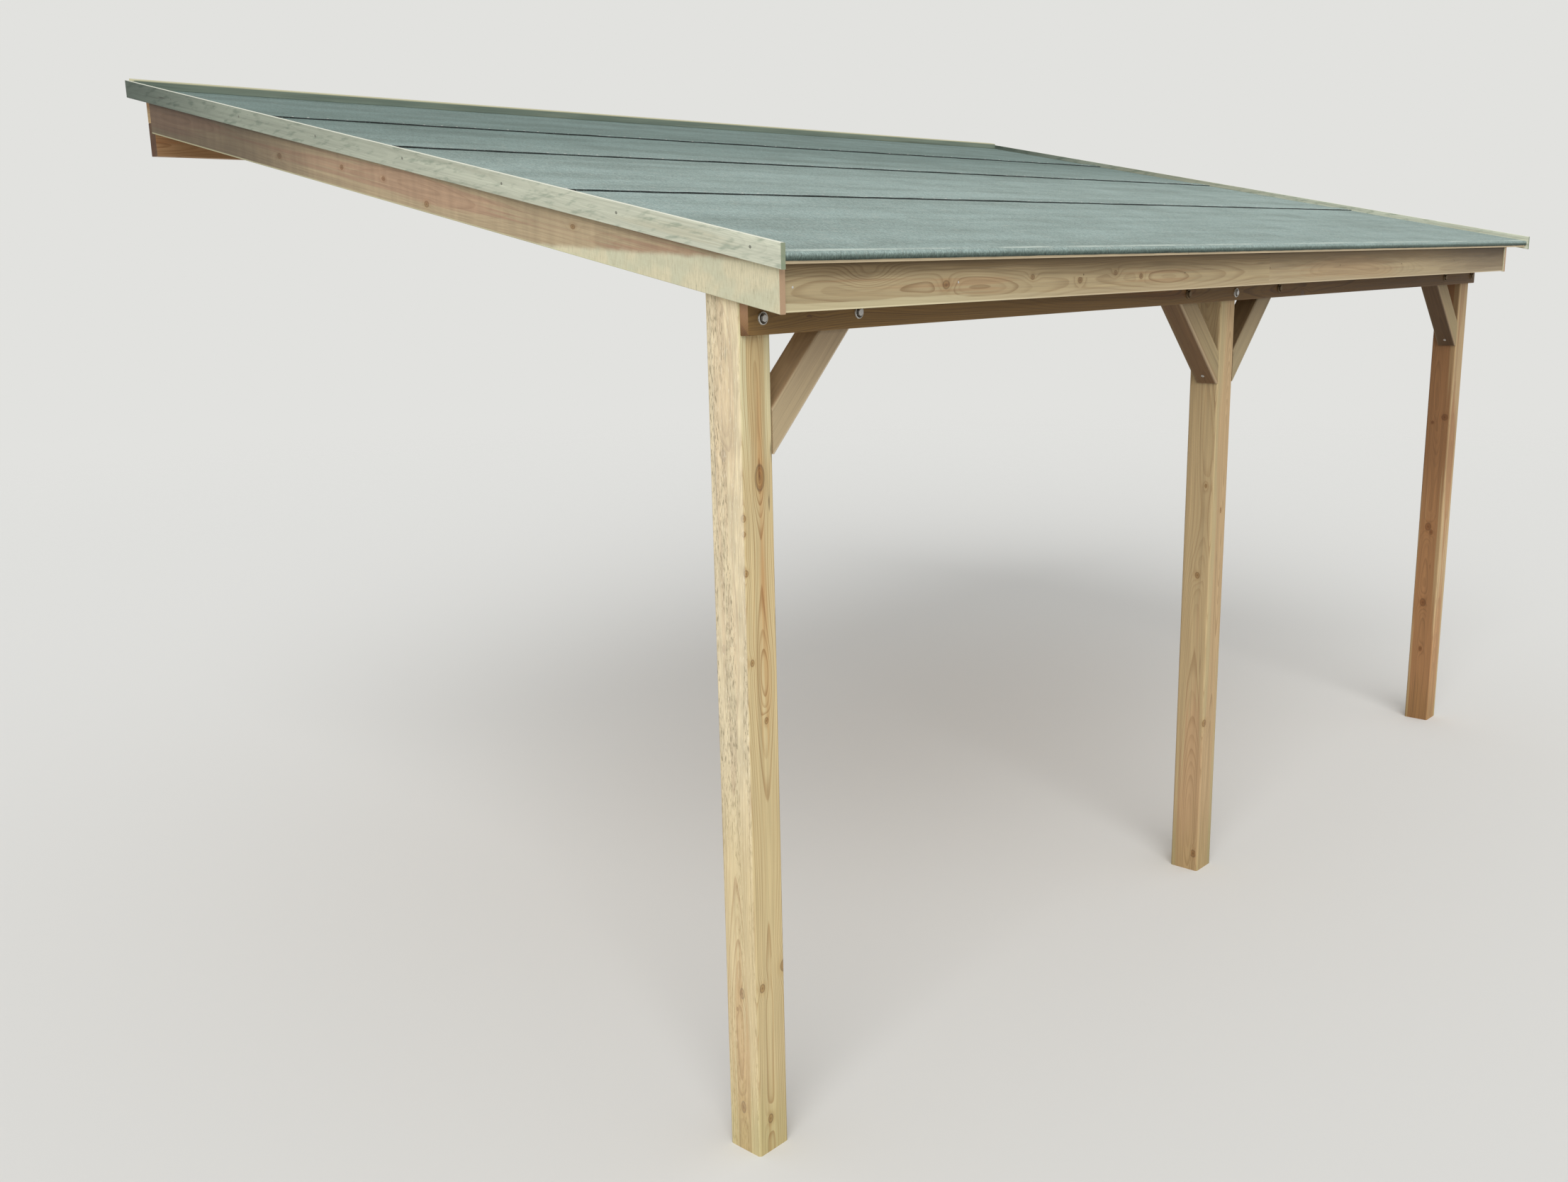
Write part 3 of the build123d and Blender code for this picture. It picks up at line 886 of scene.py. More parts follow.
def trim_stains_and_shade(graph, rgb, place):
    """Grey-green stains on the trims, darker towards the wall, green on the plumb ends and pale on top."""
    slant = graph.node("ShaderNodeMapping", {"Vector": place, "Rotation": (0.9, 0.0, 0.0),
                                             "Scale": (20.0, 14.0, 60.0)}).outputs[0]
    stain = graph.ramp(graph.noise(slant, 3.0, 0.6), 0.50, 0.70)
    rgb = graph.coat(graph.mul(stain, 0.62), rgb, 134, 146, 128)
    y = graph.split(place)[1]
    # Darker towards the wall: partly a green stain, partly painted shade from the wall
    wallward = graph.ramp(y, YARD.y - 0.2, WALL - 0.1)
    rgb = graph.stain(wallward, rgb, (0.40, 0.44, 0.44))
    rgb = graph.stain(graph.ramp(y, YARD.y + 2.2, WALL), rgb, (0.36, 0.40, 0.40))
    normal_y, normal_z = graph.normal()[1:]
    rgb = graph.coat(graph.mul(graph.ramp(normal_y, -0.8, -0.97), 0.8), rgb, 128, 142, 116)
    # Painted highlight on the top faces
    return graph.coat(graph.mul(graph.ramp(normal_z, 0.6, 0.9), 0.75), rgb, 238, 238, 222)


def batten_shade_and_weathering(graph, rgb, place):
    """The wall batten greenish grey in long soft patches, pale on top and along its upper arris."""
    x, y, z = graph.split(place)
    patch = graph.stretched(y, z, x, 30.0, 2.2, 3.0)
    # Partly painted shade: the batten darkened to greenish grey
    rgb = graph.mix(graph.ramp(patch, 0.35, 0.65), graph.tint(rgb, (0.36, 0.43, 0.42)),
                    graph.tint(rgb, (0.27, 0.34, 0.34)))
    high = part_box("wall_batten")[1]
    tilt = graph.normal()[2]
    top = graph.math("MAXIMUM", graph.ramp(tilt, 0.5, 0.8), graph.ramp(z, high.z - 0.014, high.z - 0.009))
    return graph.coat(graph.mul(top, 0.8), rgb, 208, 202, 166)


def plate_with_shaded_end(graph, rgb, place):
    """The wall plate reddish brown, and dark on its end grain."""
    end = graph.math("ABSOLUTE", graph.normal()[0])
    rgb = graph.tint(rgb, (0.78, 0.66, 0.62))
    # Painted shade on the end face
    return graph.stain(graph.ramp(end, 0.7, 0.95), rgb, (0.34, 0.34, 0.38))


def nail_marks(graph, rgb, place, low, slope):
    """Small dark nail marks at even distances along a trim, at one height above its lower edge."""
    y, z = graph.split(place)[1:]
    run = graph.div(graph.sub(y, low.y - TRIM_MARK_FIRST), TRIM_MARK_SPACING)
    off = graph.mul(graph.sub(graph.math("FRACT", run), 0.5), TRIM_MARK_SPACING)
    line = graph.mul_add(graph.sub(y, low.y), slope, low.z + TRIM_MARK_HEIGHT)
    mark = graph.vector("LENGTH", graph.join(off, graph.sub(z, line), 0.0))
    return graph.coat(graph.mul(graph.ramp(mark, 0.0046, 0.0034), 0.8), rgb, 92, 92, 82)


def beam_shade_and_lit_end(graph, rgb, place):
    """The beam's pine browner and darker towards its far end, with a paler, reddish near end."""
    x, _, z = graph.split(place)
    far = graph.ramp(x, YARD.x + 0.4, YARD.x + 4.2)
    # Painted shade under the eave, deeper towards the far end
    rgb = graph.stain(far, rgb, (0.57, 0.50, 0.41))
    end = graph.ramp(graph.normal()[0], -0.7, -0.95)
    end = graph.mul(end, graph.ramp(z, YARD.z + 2.235, YARD.z + 2.33))
    # Partly painted light: the near end face paler and reddish
    return graph.coat(graph.mul(end, 0.8), rgb, 176, 136, 104)


class CARPORT_OT_finish_posts(Operator):
    """Give the three posts their boxed-heart pine with the knots of each"""
    bl_idname = "carport.finish_posts"
    bl_label = "Finish posts"

    def execute(self, context):
        scene = context.scene
        rows = [
            ("post_near", scene.carport_near_post, (0.004, 0.004, 0), 3, NEAR_POST_KNOTS,
             weathered_near_post),
            ("post_middle", scene.carport_middle_post, (0.010, -0.016, 0), 11, MIDDLE_POST_KNOTS,
             post_light_and_shade((1.18, 1.26, 1.27))),
            ("post_far", scene.carport_far_post, (-0.010, 0.004, 0), 23, FAR_POST_KNOTS,
             post_light_and_shade((1.62, 1.78, 1.98), (0.80, 0.78, 0.76))),
        ]
        for node, finish, offset, seed, knots, paint in rows:
            dress(node, finish, (0, 0, 1), (1, 0, 0), offset, seed, knots_at(knots), paint)
        return {"FINISHED"}


class CARPORT_OT_finish_braces(Operator):
    """Give the four knee braces pine whose grain runs along each"""
    bl_idname = "carport.finish_braces"
    bl_label = "Finish braces"

    def execute(self, context):
        scene = context.scene
        for number, (node, lean) in enumerate(BRACES):
            offset = (0.02 * lean, 0.01 - 0.008 * number, -0.03)
            dress(node, scene.carport_braces, (lean, 0, 1), (0, 1, 0), offset, 31 + 5 * number,
                  paint=brace_shade_and_wear(node, lean))
        return {"FINISHED"}


class CARPORT_OT_finish_beam(Operator):
    """Give both lengths of the eave beam darker pine"""
    bl_idname = "carport.finish_beam"
    bl_label = "Finish beam"

    def execute(self, context):
        scene = context.scene
        for number, node in enumerate(("eave_beam_near", "eave_beam_far")):
            offset = (0, 0.05, 0.01 - 0.02 * number)
            dress(node, scene.carport_beam, (1, 0, 0), (0, 1, 0), offset, 51 + 7 * number,
                  paint=beam_shade_and_lit_end)
        return {"FINISHED"}


class CARPORT_OT_finish_roof_timber(Operator):
    """Give the rafters and the wall plate sawn pine"""
    bl_idname = "carport.finish_roof_timber"
    bl_label = "Finish roof timber"

    def execute(self, context):
        scene = context.scene
        chance = np.random.default_rng(8)
        rafters = sorted(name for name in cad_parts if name.startswith("rafter_"))
        for number, node in enumerate(rafters):
            offset = (chance.uniform(-0.05, 0.05), 0, chance.uniform(-0.05, 0.05))
            dress(node, scene.carport_roof_timber, uphill(), (1, 0, 0), offset, 61 + 3 * number)
        dress("wall_plate", scene.carport_roof_timber, (1, 0, 0), (0, 1, 0), (0, 0.03, -0.01), 97,
              paint=plate_with_shaded_end)
        return {"FINISHED"}


class CARPORT_OT_finish_roof_boards(Operator):
    """Give every roof board its own piece of pine, by its course and its side of the joint"""
    bl_idname = "carport.finish_roof_boards"
    bl_label = "Finish roof boards"

    def execute(self, context):
        scene = context.scene
        pitch = scene.carport_felt.pitch
        cos, sin = math.cos(pitch), math.sin(pitch)
        made, graph, shader, place = new_material("pine_roof_boards")
        turn = Matrix(((0, cos, sin), (0, -sin, cos), (1, 0, 0)))
        along, above, x = graph.split(graph.seen_from(place, Vector((0, *boards_edge(pitch))), turn))
        course = graph.math("FLOOR", graph.div(along, BOARD_PITCH))
        odd = graph.math("MODULO", course, 2.0)
        joints = [centre_x(node) for node in BOARD_JOINTS]
        joint = graph.mul_add(odd, joints[1] - joints[0], joints[0])
        side = graph.math("GREATER_THAN", x, joint)
        number = graph.mul_add(course, 2.0, side)
        chance = graph.node("ShaderNodeTexWhiteNoise", {"W": number},
                            noise_dimensions="1D").outputs["Color"]
        chance_x, chance_y, chance_z = graph.split(chance)
        middle = graph.mul_add(course, BOARD_PITCH, BOARD_PITCH / 2)
        across = graph.sub(along, middle)
        across = graph.mul_add(graph.sub(chance_x, 0.5), 0.09, across)
        depth = graph.add(above, graph.mul_add(chance_y, 0.08, 0.01))
        pine = pine_node(graph, scene.carport_roof_boards, (1, 0, 0), 0)
        graph.feed(pine.inputs["Seed"], number)
        graph.feed(pine.inputs["Vector"], graph.join(across, depth, x))
        rgb = graph.grey(pine.outputs["Color"], graph.mul_add(chance_z, 0.34, 0.80))
        edge_face = graph.ramp(along, 0.0030, 0.0010)
        rgb = graph.coat(graph.mul(edge_face, 0.75), rgb, 222, 204, 170)
        finish_shader(graph, shader, pine, rgb, scene.carport_grain.relief)
        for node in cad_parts:
            if node.startswith("roof_boards_"):
                wear(node, made)
        return {"FINISHED"}


class CARPORT_OT_finish_face_boards(Operator):
    """Give the fascia and barge boards planed pine, the barges washed pale at the eave"""
    bl_idname = "carport.finish_face_boards"
    bl_label = "Finish face boards"

    def execute(self, context):
        scene = context.scene
        for number, node in enumerate(("fascia_near", "fascia_far")):
            dress(node, getattr(scene, "carport_" + node), (1, 0, 0), (0, 1, 0), (0, 0.055, -0.015),
                  105 + 9 * number, knots_at(FASCIA_KNOTS if number == 0 else ()), fascia_shade_and_pale_edge)
        for number, node in enumerate(("barge_board_near", "barge_board_far")):
            inward = 0.06 if number == 0 else -0.06
            dress(node, scene.carport_barge_boards, uphill(), (1, 0, 0), (inward, 0, 0), 121 + 9 * number,
                  knots_at(BARGE_KNOTS if number == 0 else ()), barge_weathering_and_shade)
        return {"FINISHED"}


class CARPORT_OT_finish_trims(Operator):
    """Give the verge trims and the wall batten pale pine with grey-green stains"""
    bl_idname = "carport.finish_trims"
    bl_label = "Finish trims"

    def execute(self, context):
        finish = context.scene.carport_trims
        for number, node in enumerate(("verge_trim_near", "verge_trim_far")):
            low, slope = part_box(node)[0], math.tan(context.scene.carport_felt.pitch)

            def paint(graph, rgb, place, low=low):
                return nail_marks(graph, trim_stains_and_shade(graph, rgb, place), place, low, slope)

            offset = (0.05 - 0.1 * number, 0, 0.01)
            dress(node, finish, uphill(), (1, 0, 0), offset, 141 + 9 * number, paint=paint)
        dress("wall_batten", finish, (1, 0, 0), (0, 1, 0), (0, 0, -0.05), 163, paint=batten_shade_and_weathering)
        return {"FINISHED"}


# Felt

def felt_material(felt):
    """Mineral felt: fine granules, short streaks down the slope and long soft bands along the roof.

    It is darker towards the wall and on the turn at the eave, where the granules crack."""
    made, graph, shader, place = new_material("mineral_felt")
    cos, sin = math.cos(felt.pitch), math.sin(felt.pitch)
    turn = Matrix(((1, 0, 0), (0, cos, sin), (0, -sin, cos)))
    level = graph.seen_from(place, Vector((0, *boards_edge(felt.pitch))), turn)
    along, above = graph.split(level)[1:]
    granule = graph.noise(graph.grey(level, 520.0), 1.0)
    speck = graph.noise(graph.tint(level, (240.0, 130.0, 130.0)), 2.0, 0.7)
    streak = graph.noise(graph.tint(level, (210.0, 20.0, 60.0)), 2.0, 0.6)
    band = graph.noise(graph.tint(level, (0.7, 8.0, 1.0)), 3.0, 0.6)
    cloud = graph.noise(graph.tint(level, (3.0, 4.0, 3.0)), 3.0, 0.6)
    mottle = graph.mul_add(cloud, 0.4, graph.mul(band, 0.6))
    rgb = graph.mix(graph.ramp(mottle, 0.36, 0.66), opaque(felt.granules), opaque(felt.granules_dark))
    rough = graph.mul(graph.shade(speck, 0.40), graph.shade(streak, 0.40))
    rgb = graph.grey(rgb, graph.mul(graph.shade(granule, 0.16), rough))
    dark = graph.mul(graph.ramp(streak, 0.58, 0.68), 0.45)
    rgb = graph.coat(dark, rgb, 92, 102, 98)
    light = graph.mul(graph.ramp(streak, 0.42, 0.34), 0.45)
    rgb = graph.coat(light, rgb, 204, 214, 204)
    # Painted shade from the wall: darker up the slope towards it
    wallward = graph.ramp(along, 1.1, 2.6)
    rgb = graph.stain(wallward, rgb, (0.54, 0.59, 0.58))
    # Painted highlight: a pale broken crest where the felt turns down at the eave
    soft = graph.mul_add(streak, 0.010, along)
    crest = graph.mul(graph.ramp(soft, 0.012, 0.018), graph.ramp(soft, 0.042, 0.026))
    broken = graph.mul_add(speck, 0.4, cloud)
    crest = graph.mul(crest, graph.ramp(broken, 0.55, 0.80))
    rgb = graph.coat(graph.mul(crest, 0.75), rgb, 198, 210, 200)
    # Painted shade: the roll and the hem darker as they turn down
    depth = graph.mul_add(streak, 0.008, above)
    rgb = graph.stain(graph.ramp(depth, 0.0300, 0.0200), rgb, (0.42, 0.45, 0.42))
    rgb = graph.stain(graph.ramp(depth, 0.0230, 0.0120), rgb, (0.30, 0.32, 0.30))
    graph.feed(shader.inputs["Base Color"], rgb)
    graph.feed(shader.inputs["Roughness"], graph.mul_add(granule, 0.15, 0.80))
    shader.inputs["Specular IOR Level"].default_value = 0.30
    height = graph.mul_add(granule, 0.6, graph.mul(streak, 0.4))
    graph.bump(shader, height, 0.55, 0.0012)
    return made


def bitumen_material(felt):
    """Bare bitumen of cut edges: near black, a little glossy, with stray granules."""
    made, graph, shader, place = new_material("bitumen")
    grain = graph.noise(graph.grey(place, 420.0), 2.0)
    rgb = graph.mix(graph.ramp(grain, 0.60, 0.70), opaque(felt.bitumen), opaque(felt.granules_dark))
    graph.feed(shader.inputs["Base Color"], rgb)
    graph.feed(shader.inputs["Roughness"], graph.mul_add(grain, 0.3, 0.42))
    graph.bump(shader, grain, 0.4, 0.0006)
    return made


def felt_sheet(name, middle, lying, felt, wave, seed, materials):
    """A closed sheet of felt: the middle line (along, above) of its section is carried along the eave.

    Both faces stand half the thickness off the middle line along its normal. The cut edge moves along the
    line's first direction by a wave that dies away within 30 mm, and the parts that lie on the roof rise by
    slow ripples that all courses share."""
    columns = int((ROOF_FAR - ROOF_NEAR) / FELT_COLUMN)
    x = np.linspace(ROOF_NEAR, ROOF_FAR, columns)[:, None]
    line = np.array(middle, float)
    way = np.gradient(line, axis=0)
    way /= np.linalg.norm(way, axis=1)[:, None]
    normal = np.stack([-way[:, 1], way[:, 0]], axis=1)
    run = np.concatenate([[0], np.cumsum(np.linalg.norm(np.diff(line, axis=0), axis=1))])
    near_edge = np.exp(-(run / 0.030) ** 2)[None, :]
    stray = wave * waves(x, 0, (1.7, 0.63, 0.29, 0.13, 0.06), seed)
    lift = 0.0008 * (1 + waves(x, 0, (0.9, 0.41, 0.17), seed + 1))
    ripple = roof_ripple(felt, x, line[None, :, 0])
    faces = []
    for sign in (1, -1):
        surface = line + sign * felt.thickness / 2 * normal
        along = surface[None, :, 0] - stray * near_edge * way[0, 0]
        above = surface[None, :, 1] - stray * near_edge * way[0, 1]
        along = along - lift * near_edge * way[0, 1]
        above = above + lift * near_edge * way[0, 0] + ripple * np.array(lying, float)[None, :]
        faces.append(roof_points(x, along, above, felt.pitch))
    stations = len(line)
    points = np.concatenate([faces[0], faces[1][:, ::-1]], axis=1)
    around = grid_faces(columns, 2 * stations, wrap_columns=True)
    column = np.tile(np.arange(2 * stations), columns - 1)
    marks = np.isin(column, (stations - 1, 2 * stations - 1)).astype(int)
    step = np.arange(stations - 1)
    cap = np.stack([step, step + 1, 2 * stations - 2 - step, 2 * stations - 1 - step], axis=1)
    caps = np.concatenate([cap, cap + (columns - 1) * 2 * stations])
    faces = np.concatenate([around, caps])
    marks = np.concatenate([marks, np.ones(len(caps), int)])
    return build_piece(name, points, faces, materials, marks)


def felt_spans():
    """Each course's seam and end as distances up the slope, read from its node's box."""
    felt = bpy.context.scene.carport_felt
    cos, sin = math.cos(felt.pitch), math.sin(felt.pitch)
    edge_y = boards_edge(felt.pitch)[0]
    spans = []
    for number in range(1, 5):
        low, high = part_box(f"roof_felt_{number}")
        above = BOARD_THICK + (felt.thickness * 2 if number > 1 else 0)
        seam = (low.y - edge_y + above * sin) / cos if number > 1 else 0.0
        end = (high.y - edge_y + BOARD_THICK * sin) / cos
        spans.append((seam, end))
    return spans


class CARPORT_OT_lay_felt(Operator):
    """Lay the four courses of mineral felt, the lowest turned down over the eave"""
    bl_idname = "carport.lay_felt"
    bl_label = "Lay felt"

    def execute(self, context):
        felt = context.scene.carport_felt
        materials = [felt_material(felt), bitumen_material(felt)]
        half = felt.thickness / 2
        on_boards = BOARD_THICK + half
        spans = felt_spans()

        # Eave course: up the hem, round the roll and up the roof
        centre = (felt.roll - felt.thickness, BOARD_THICK + felt.thickness - felt.roll)
        bend = felt.roll - half
        angle = np.linspace(np.pi, np.pi / 2, 9)
        roll = np.stack([centre[0] + bend * np.cos(angle), centre[1] + bend * np.sin(angle)], axis=1)
        hem_foot = BOARD_THICK + felt.thickness - felt.hem
        hem = np.stack([np.full(4, -half), np.linspace(hem_foot, centre[1], 5)[:-1]], axis=1)
        run = np.linspace(centre[0], spans[0][1], 34)[1:]
        flat = np.stack([run, np.full(len(run), on_boards)], axis=1)
        middle = np.concatenate([hem, roll, flat])
        lying = np.clip((middle[:, 0] - centre[0]) / 0.03, 0, 1)
        piece = felt_sheet("felt_course_1", middle, lying, felt, felt.edge_wave / 4, 11, materials)
        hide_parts("roof_felt_1")

        # Lapped courses: level over the lap, then down to the boards by a smooth step
        for number, (seam, end) in enumerate(spans[1:], 2):
            near = seam + np.array([0, 2, 5, 9, 14, 20, 30, 45, 62]) / 1000
            foot = seam + felt.lap + np.linspace(0, felt.step, 5)
            rest = np.linspace(foot[-1], end, 28)[1:]
            along = np.concatenate([near, foot, rest])
            fall = np.clip((along - seam - felt.lap) / felt.step, 0, 1)
            above = on_boards + felt.thickness * (1 - fall * fall * (3 - 2 * fall))
            middle = np.stack([along, above], axis=1)
            lying = np.ones(len(middle))
            piece = felt_sheet(f"felt_course_{number}", middle, lying, felt, felt.edge_wave, 11 * number,
                               materials)
            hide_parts(f"roof_felt_{number}")
        return {"FINISHED"}


# Fixings

def bolt_shapes(places, back, fixings, outward, sideways):
    """Bolts with dished washers at the given places of a face and a nut and washer at a depth behind it.

    back is the depth of the timber, at which the nut and its washer sit."""
    rim = fixings.washer_radius
    washer = [(0, 0.0012), (0.66 * rim, 0.0012), (0.78 * rim, 0.0020), (0.83 * rim, 0.0044),
              (0.88 * rim, 0.0050), (0.95 * rim, 0.0048), (rim, 0.0036), (rim, -0.0002), (0, -0.0002)]
    top = 0.0014 + fixings.head_height
    apothem = fixings.across_flats / 2
    head = [(0, top), (1, top), (1, top - 0.0004), (1, top - 0.0009), (1, top - 0.0016), (1, 0.0010),
            (0, 0.0010)]
    dish, rest = washer[:3], washer[2:]
    # The dish takes the third material, darkened as painted shade in its recess
    shapes = [turned(dish, round_shape, places, outward, sideways, 40, 2),
              turned(rest, round_shape, places, outward, sideways, 40),
              turned(head, hexagon(apothem, top), places, outward, sideways, 48, 1)]
    nut_washer = [(0, -back + 0.0002), (rim * 0.9, -back + 0.0002), (rim * 0.9, -back - 0.0022),
                  (0, -back - 0.0022)]
    nut_top = back + 0.0102
    shapes.append(turned(nut_washer, round_shape, places, outward, sideways, 32))
    behind = [-value for value in outward]
    nut = [(0, nut_top), (1, nut_top), (1, nut_top - 0.0006), (1, nut_top - 0.0014), (1, back + 0.0020),
           (0, back + 0.0020)]
    shapes.append(turned(nut, hexagon(apothem, nut_top), places, behind, sideways, 48))
    thread = [(0, nut_top + 0.0050), (0.8 * fixings.shank_radius, nut_top + 0.0050)]
    for turn in range(4):
        level = nut_top + 0.0042 - 0.0015 * turn
        thread += [(fixings.shank_radius, level), (0.88 * fixings.shank_radius, level - 0.0008)]
    thread += [(fixings.shank_radius, nut_top - 0.004), (fixings.shank_radius, -0.0012), (0, -0.0012)]
    shapes.append(turned(thread, round_shape, places, behind, sideways, 20))
    return shapes


class CARPORT_OT_fit_coach_bolts(Operator):
    """Fit the bolts through the eave beam into the posts and the brace heads"""
    bl_idname = "carport.fit_coach_bolts"
    bl_label = "Fit coach bolts"

    def execute(self, context):
        fixings = context.scene.carport_fixings
        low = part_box("eave_beam_near")[0]
        reach = BRACE_BOLT_REACH
        near, middle, far = [centre_x("post_" + name) for name in ("near", "middle", "far")]
        post_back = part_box("post_near")[1].y - low.y
        brace_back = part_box("brace_near")[1].y - low.y
        bright = [metal_of(fixings, name) for name in ("zinc", "bright_steel", "shaded_dish_steel")]

        # Bolts as (x, height above the beam's lower edge, depth of the timber)
        rows = [("coach_bolts", bright,
                 [(near, 0.041, post_back), (middle, 0.028, post_back), (near + reach, 0.041, brace_back)]),
                # These bolts take zinc darkened as painted shade under the eave
                ("coach_bolts_shaded", [metal_of(fixings, "shaded_zinc")] * 3,
                 [(far, 0.036, post_back), (middle - reach, 0.035, brace_back),
                  (middle + reach, 0.035, brace_back), (far - reach, 0.036, brace_back)])]
        for name, metal, bolts in rows:
            shapes = []
            for x, height, back in bolts:
                shapes += bolt_shapes([(x, low.y, low.z + height)], back, fixings, (0, -1, 0), (1, 0, 0))
            points, faces, marks = stack_shapes(shapes)
            build_piece(name, points, faces, metal, marks=marks, crisp=28)
        return {"FINISHED"}


class CARPORT_OT_fit_wall_bolts(Operator):
    """Fit a bolt head and washer over each hole of the wall plate"""
    bl_idname = "carport.fit_wall_bolts"
    bl_label = "Fit wall bolts"

    def execute(self, context):
        fixings = context.scene.carport_fixings
        low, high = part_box("wall_plate")
        height = (low.z + high.z) / 2
        holes = np.linspace(low.x + WALL_HOLE_FROM_END, high.x - WALL_HOLE_FROM_END, WALL_HOLES)
        places = [(x, low.y, height) for x in holes]
        rim = fixings.washer_radius
        washer = [(0, 0.0020), (rim * 0.96, 0.0020), (rim, 0.0014), (rim, -0.0002), (0, -0.0002)]
        top = 0.0020 + fixings.head_height
        head = [(0, top), (1, top), (1, top - 0.0006), (1, top - 0.0014), (1, 0.0016), (0, 0.0016)]
        shank = [(0, 0.001), (fixings.shank_radius, 0.001), (fixings.shank_radius, low.y - high.y),
                 (0, low.y - high.y)]
        outward, sideways = (0, -1, 0), (1, 0, 0)
        points, faces, marks = stack_shapes([
            turned(washer, round_shape, places, outward, sideways, 40),
            turned(head, hexagon(fixings.across_flats / 2, top), places, outward, sideways, 48),
            turned(shank, round_shape, places, outward, sideways, 20)])
        build_piece("wall_bolts", points, faces, [metal_of(fixings, "zinc")], marks=marks, crisp=28)
        return {"FINISHED"}


def nail_shapes(places, outward, sideways, radius, proud, sides=10):
    """Shallow domed nail heads: height falls from proud at the middle to zero at the rim."""
    profile = [(0, proud), (radius * 0.55, proud * 0.9), (radius * 0.92, proud * 0.5), (radius, 0.0),
               (radius, -0.0008), (0, -0.0008)]
    return turned(profile, round_shape, places, outward, sideways, sides)


class CARPORT_OT_fit_brace_screws(Operator):
    """Fit a screw through the lower face of each brace into its post"""
    bl_idname = "carport.fit_brace_screws"
    bl_label = "Fit brace screws"

    def execute(self, context):
        fixings = context.scene.carport_fixings
        shapes = []
        for node, lean in BRACES:
            low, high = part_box(node)
            foot = low.x if lean > 0 else high.x
            toe, rise = 0.010, 0.038
            outward = Vector((lean, 0, -1)).normalized()
            places = [(foot + lean * rise, low.y + 0.043, low.z - toe + rise)]
            head = [(0, -0.0004), (0.0016, -0.0004), (0.0020, 0.0006), (0.0050, 0.0010), (0.0062, 0.0003),
                    (0.0062, -0.0008), (0, -0.0008)]
            shapes.append(turned(head, round_shape, places, outward, (0, 1, 0), 20))
        points, faces, marks = stack_shapes(shapes)
        build_piece("brace_screws", points, faces, [metal_of(fixings, "bright_steel")], marks=marks)
        return {"FINISHED"}


class CARPORT_OT_drive_nails(Operator):
    """Drive the nails of the fascia and the wall batten"""
    bl_idname = "carport.drive_nails"
    bl_label = "Drive nails"

    def execute(self, context):
        scene = context.scene
        fixings, pitch = scene.carport_fixings, scene.carport_felt.pitch
        slope = math.tan(pitch)
        chance = np.random.default_rng(21)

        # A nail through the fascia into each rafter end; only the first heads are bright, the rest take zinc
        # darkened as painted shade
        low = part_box("fascia_near")[0]
        rafters = sorted(centre_x(name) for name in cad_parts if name.startswith("rafter_"))
        places = [(x + chance.uniform(-0.006, 0.006), low.y,
                   low.z + FASCIA_NAIL_HEIGHT + chance.uniform(-0.004, 0.004))
                  for x in [YARD.x + 0.028] + rafters[1:]]
        for name, some, metal in [("fascia_nails", places[:2], metal_of(fixings, "zinc")),
                                  ("fascia_nails_shaded", places[2:], metal_of(fixings, "shaded_zinc"))]:
            points, faces, _ = nail_shapes(some, (0, -1, 0), (1, 0, 0), fixings.nail_radius, NAIL_PROUD)
            build_piece(name, points, faces, [metal])

        # Wall batten, nailed down through the felt
        low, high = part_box("wall_batten")
        up = (0, -math.sin(pitch), math.cos(pitch))
        middle_y = (low.y + high.y) / 2
        height = high.z - (high.y - middle_y) * slope
        places = [(x, middle_y, height) for x in np.linspace(low.x + 0.12, high.x - 0.12, 12)]
        points, faces, _ = nail_shapes(places, up, (1, 0, 0), fixings.nail_radius, NAIL_PROUD)
        build_piece("batten_nails", points, faces, [metal_of(fixings, "zinc")])
        return {"FINISHED"}


class CARPORT_OT_tack_felt(Operator):
    """Tack the felt with clout nails along its laps"""
    bl_idname = "carport.tack_felt"
    bl_label = "Tack felt"

    def execute(self, context):
        fixings, felt = context.scene.carport_fixings, context.scene.carport_felt
        chance = np.random.default_rng(34)
        up = (0, -math.sin(felt.pitch), math.cos(felt.pitch))
        shapes = []
        above = BOARD_THICK + 2 * felt.thickness
        for seam, _ in felt_spans()[1:]:
            count = int((ROOF_FAR - ROOF_NEAR - 0.06) / felt.clout_spacing)
            x = np.linspace(ROOF_NEAR + 0.03, ROOF_FAR - 0.03, count)
            x = x + chance.uniform(-0.014, 0.014, count)
            where = seam + 0.014 + chance.uniform(-0.005, 0.006, count)
            ripple = roof_ripple(felt, x, where)
            places = roof_points(x, where, above + ripple + 0.0003, felt.pitch)
            shapes.append(nail_shapes(places, up, (1, 0, 0), fixings.clout_radius, CLOUT_PROUD, 8))
        points, faces, marks = stack_shapes(shapes)
        build_piece("felt_clouts", points, faces, [metal_of(fixings, "zinc")], marks=marks)
        return {"FINISHED"}


# Stage

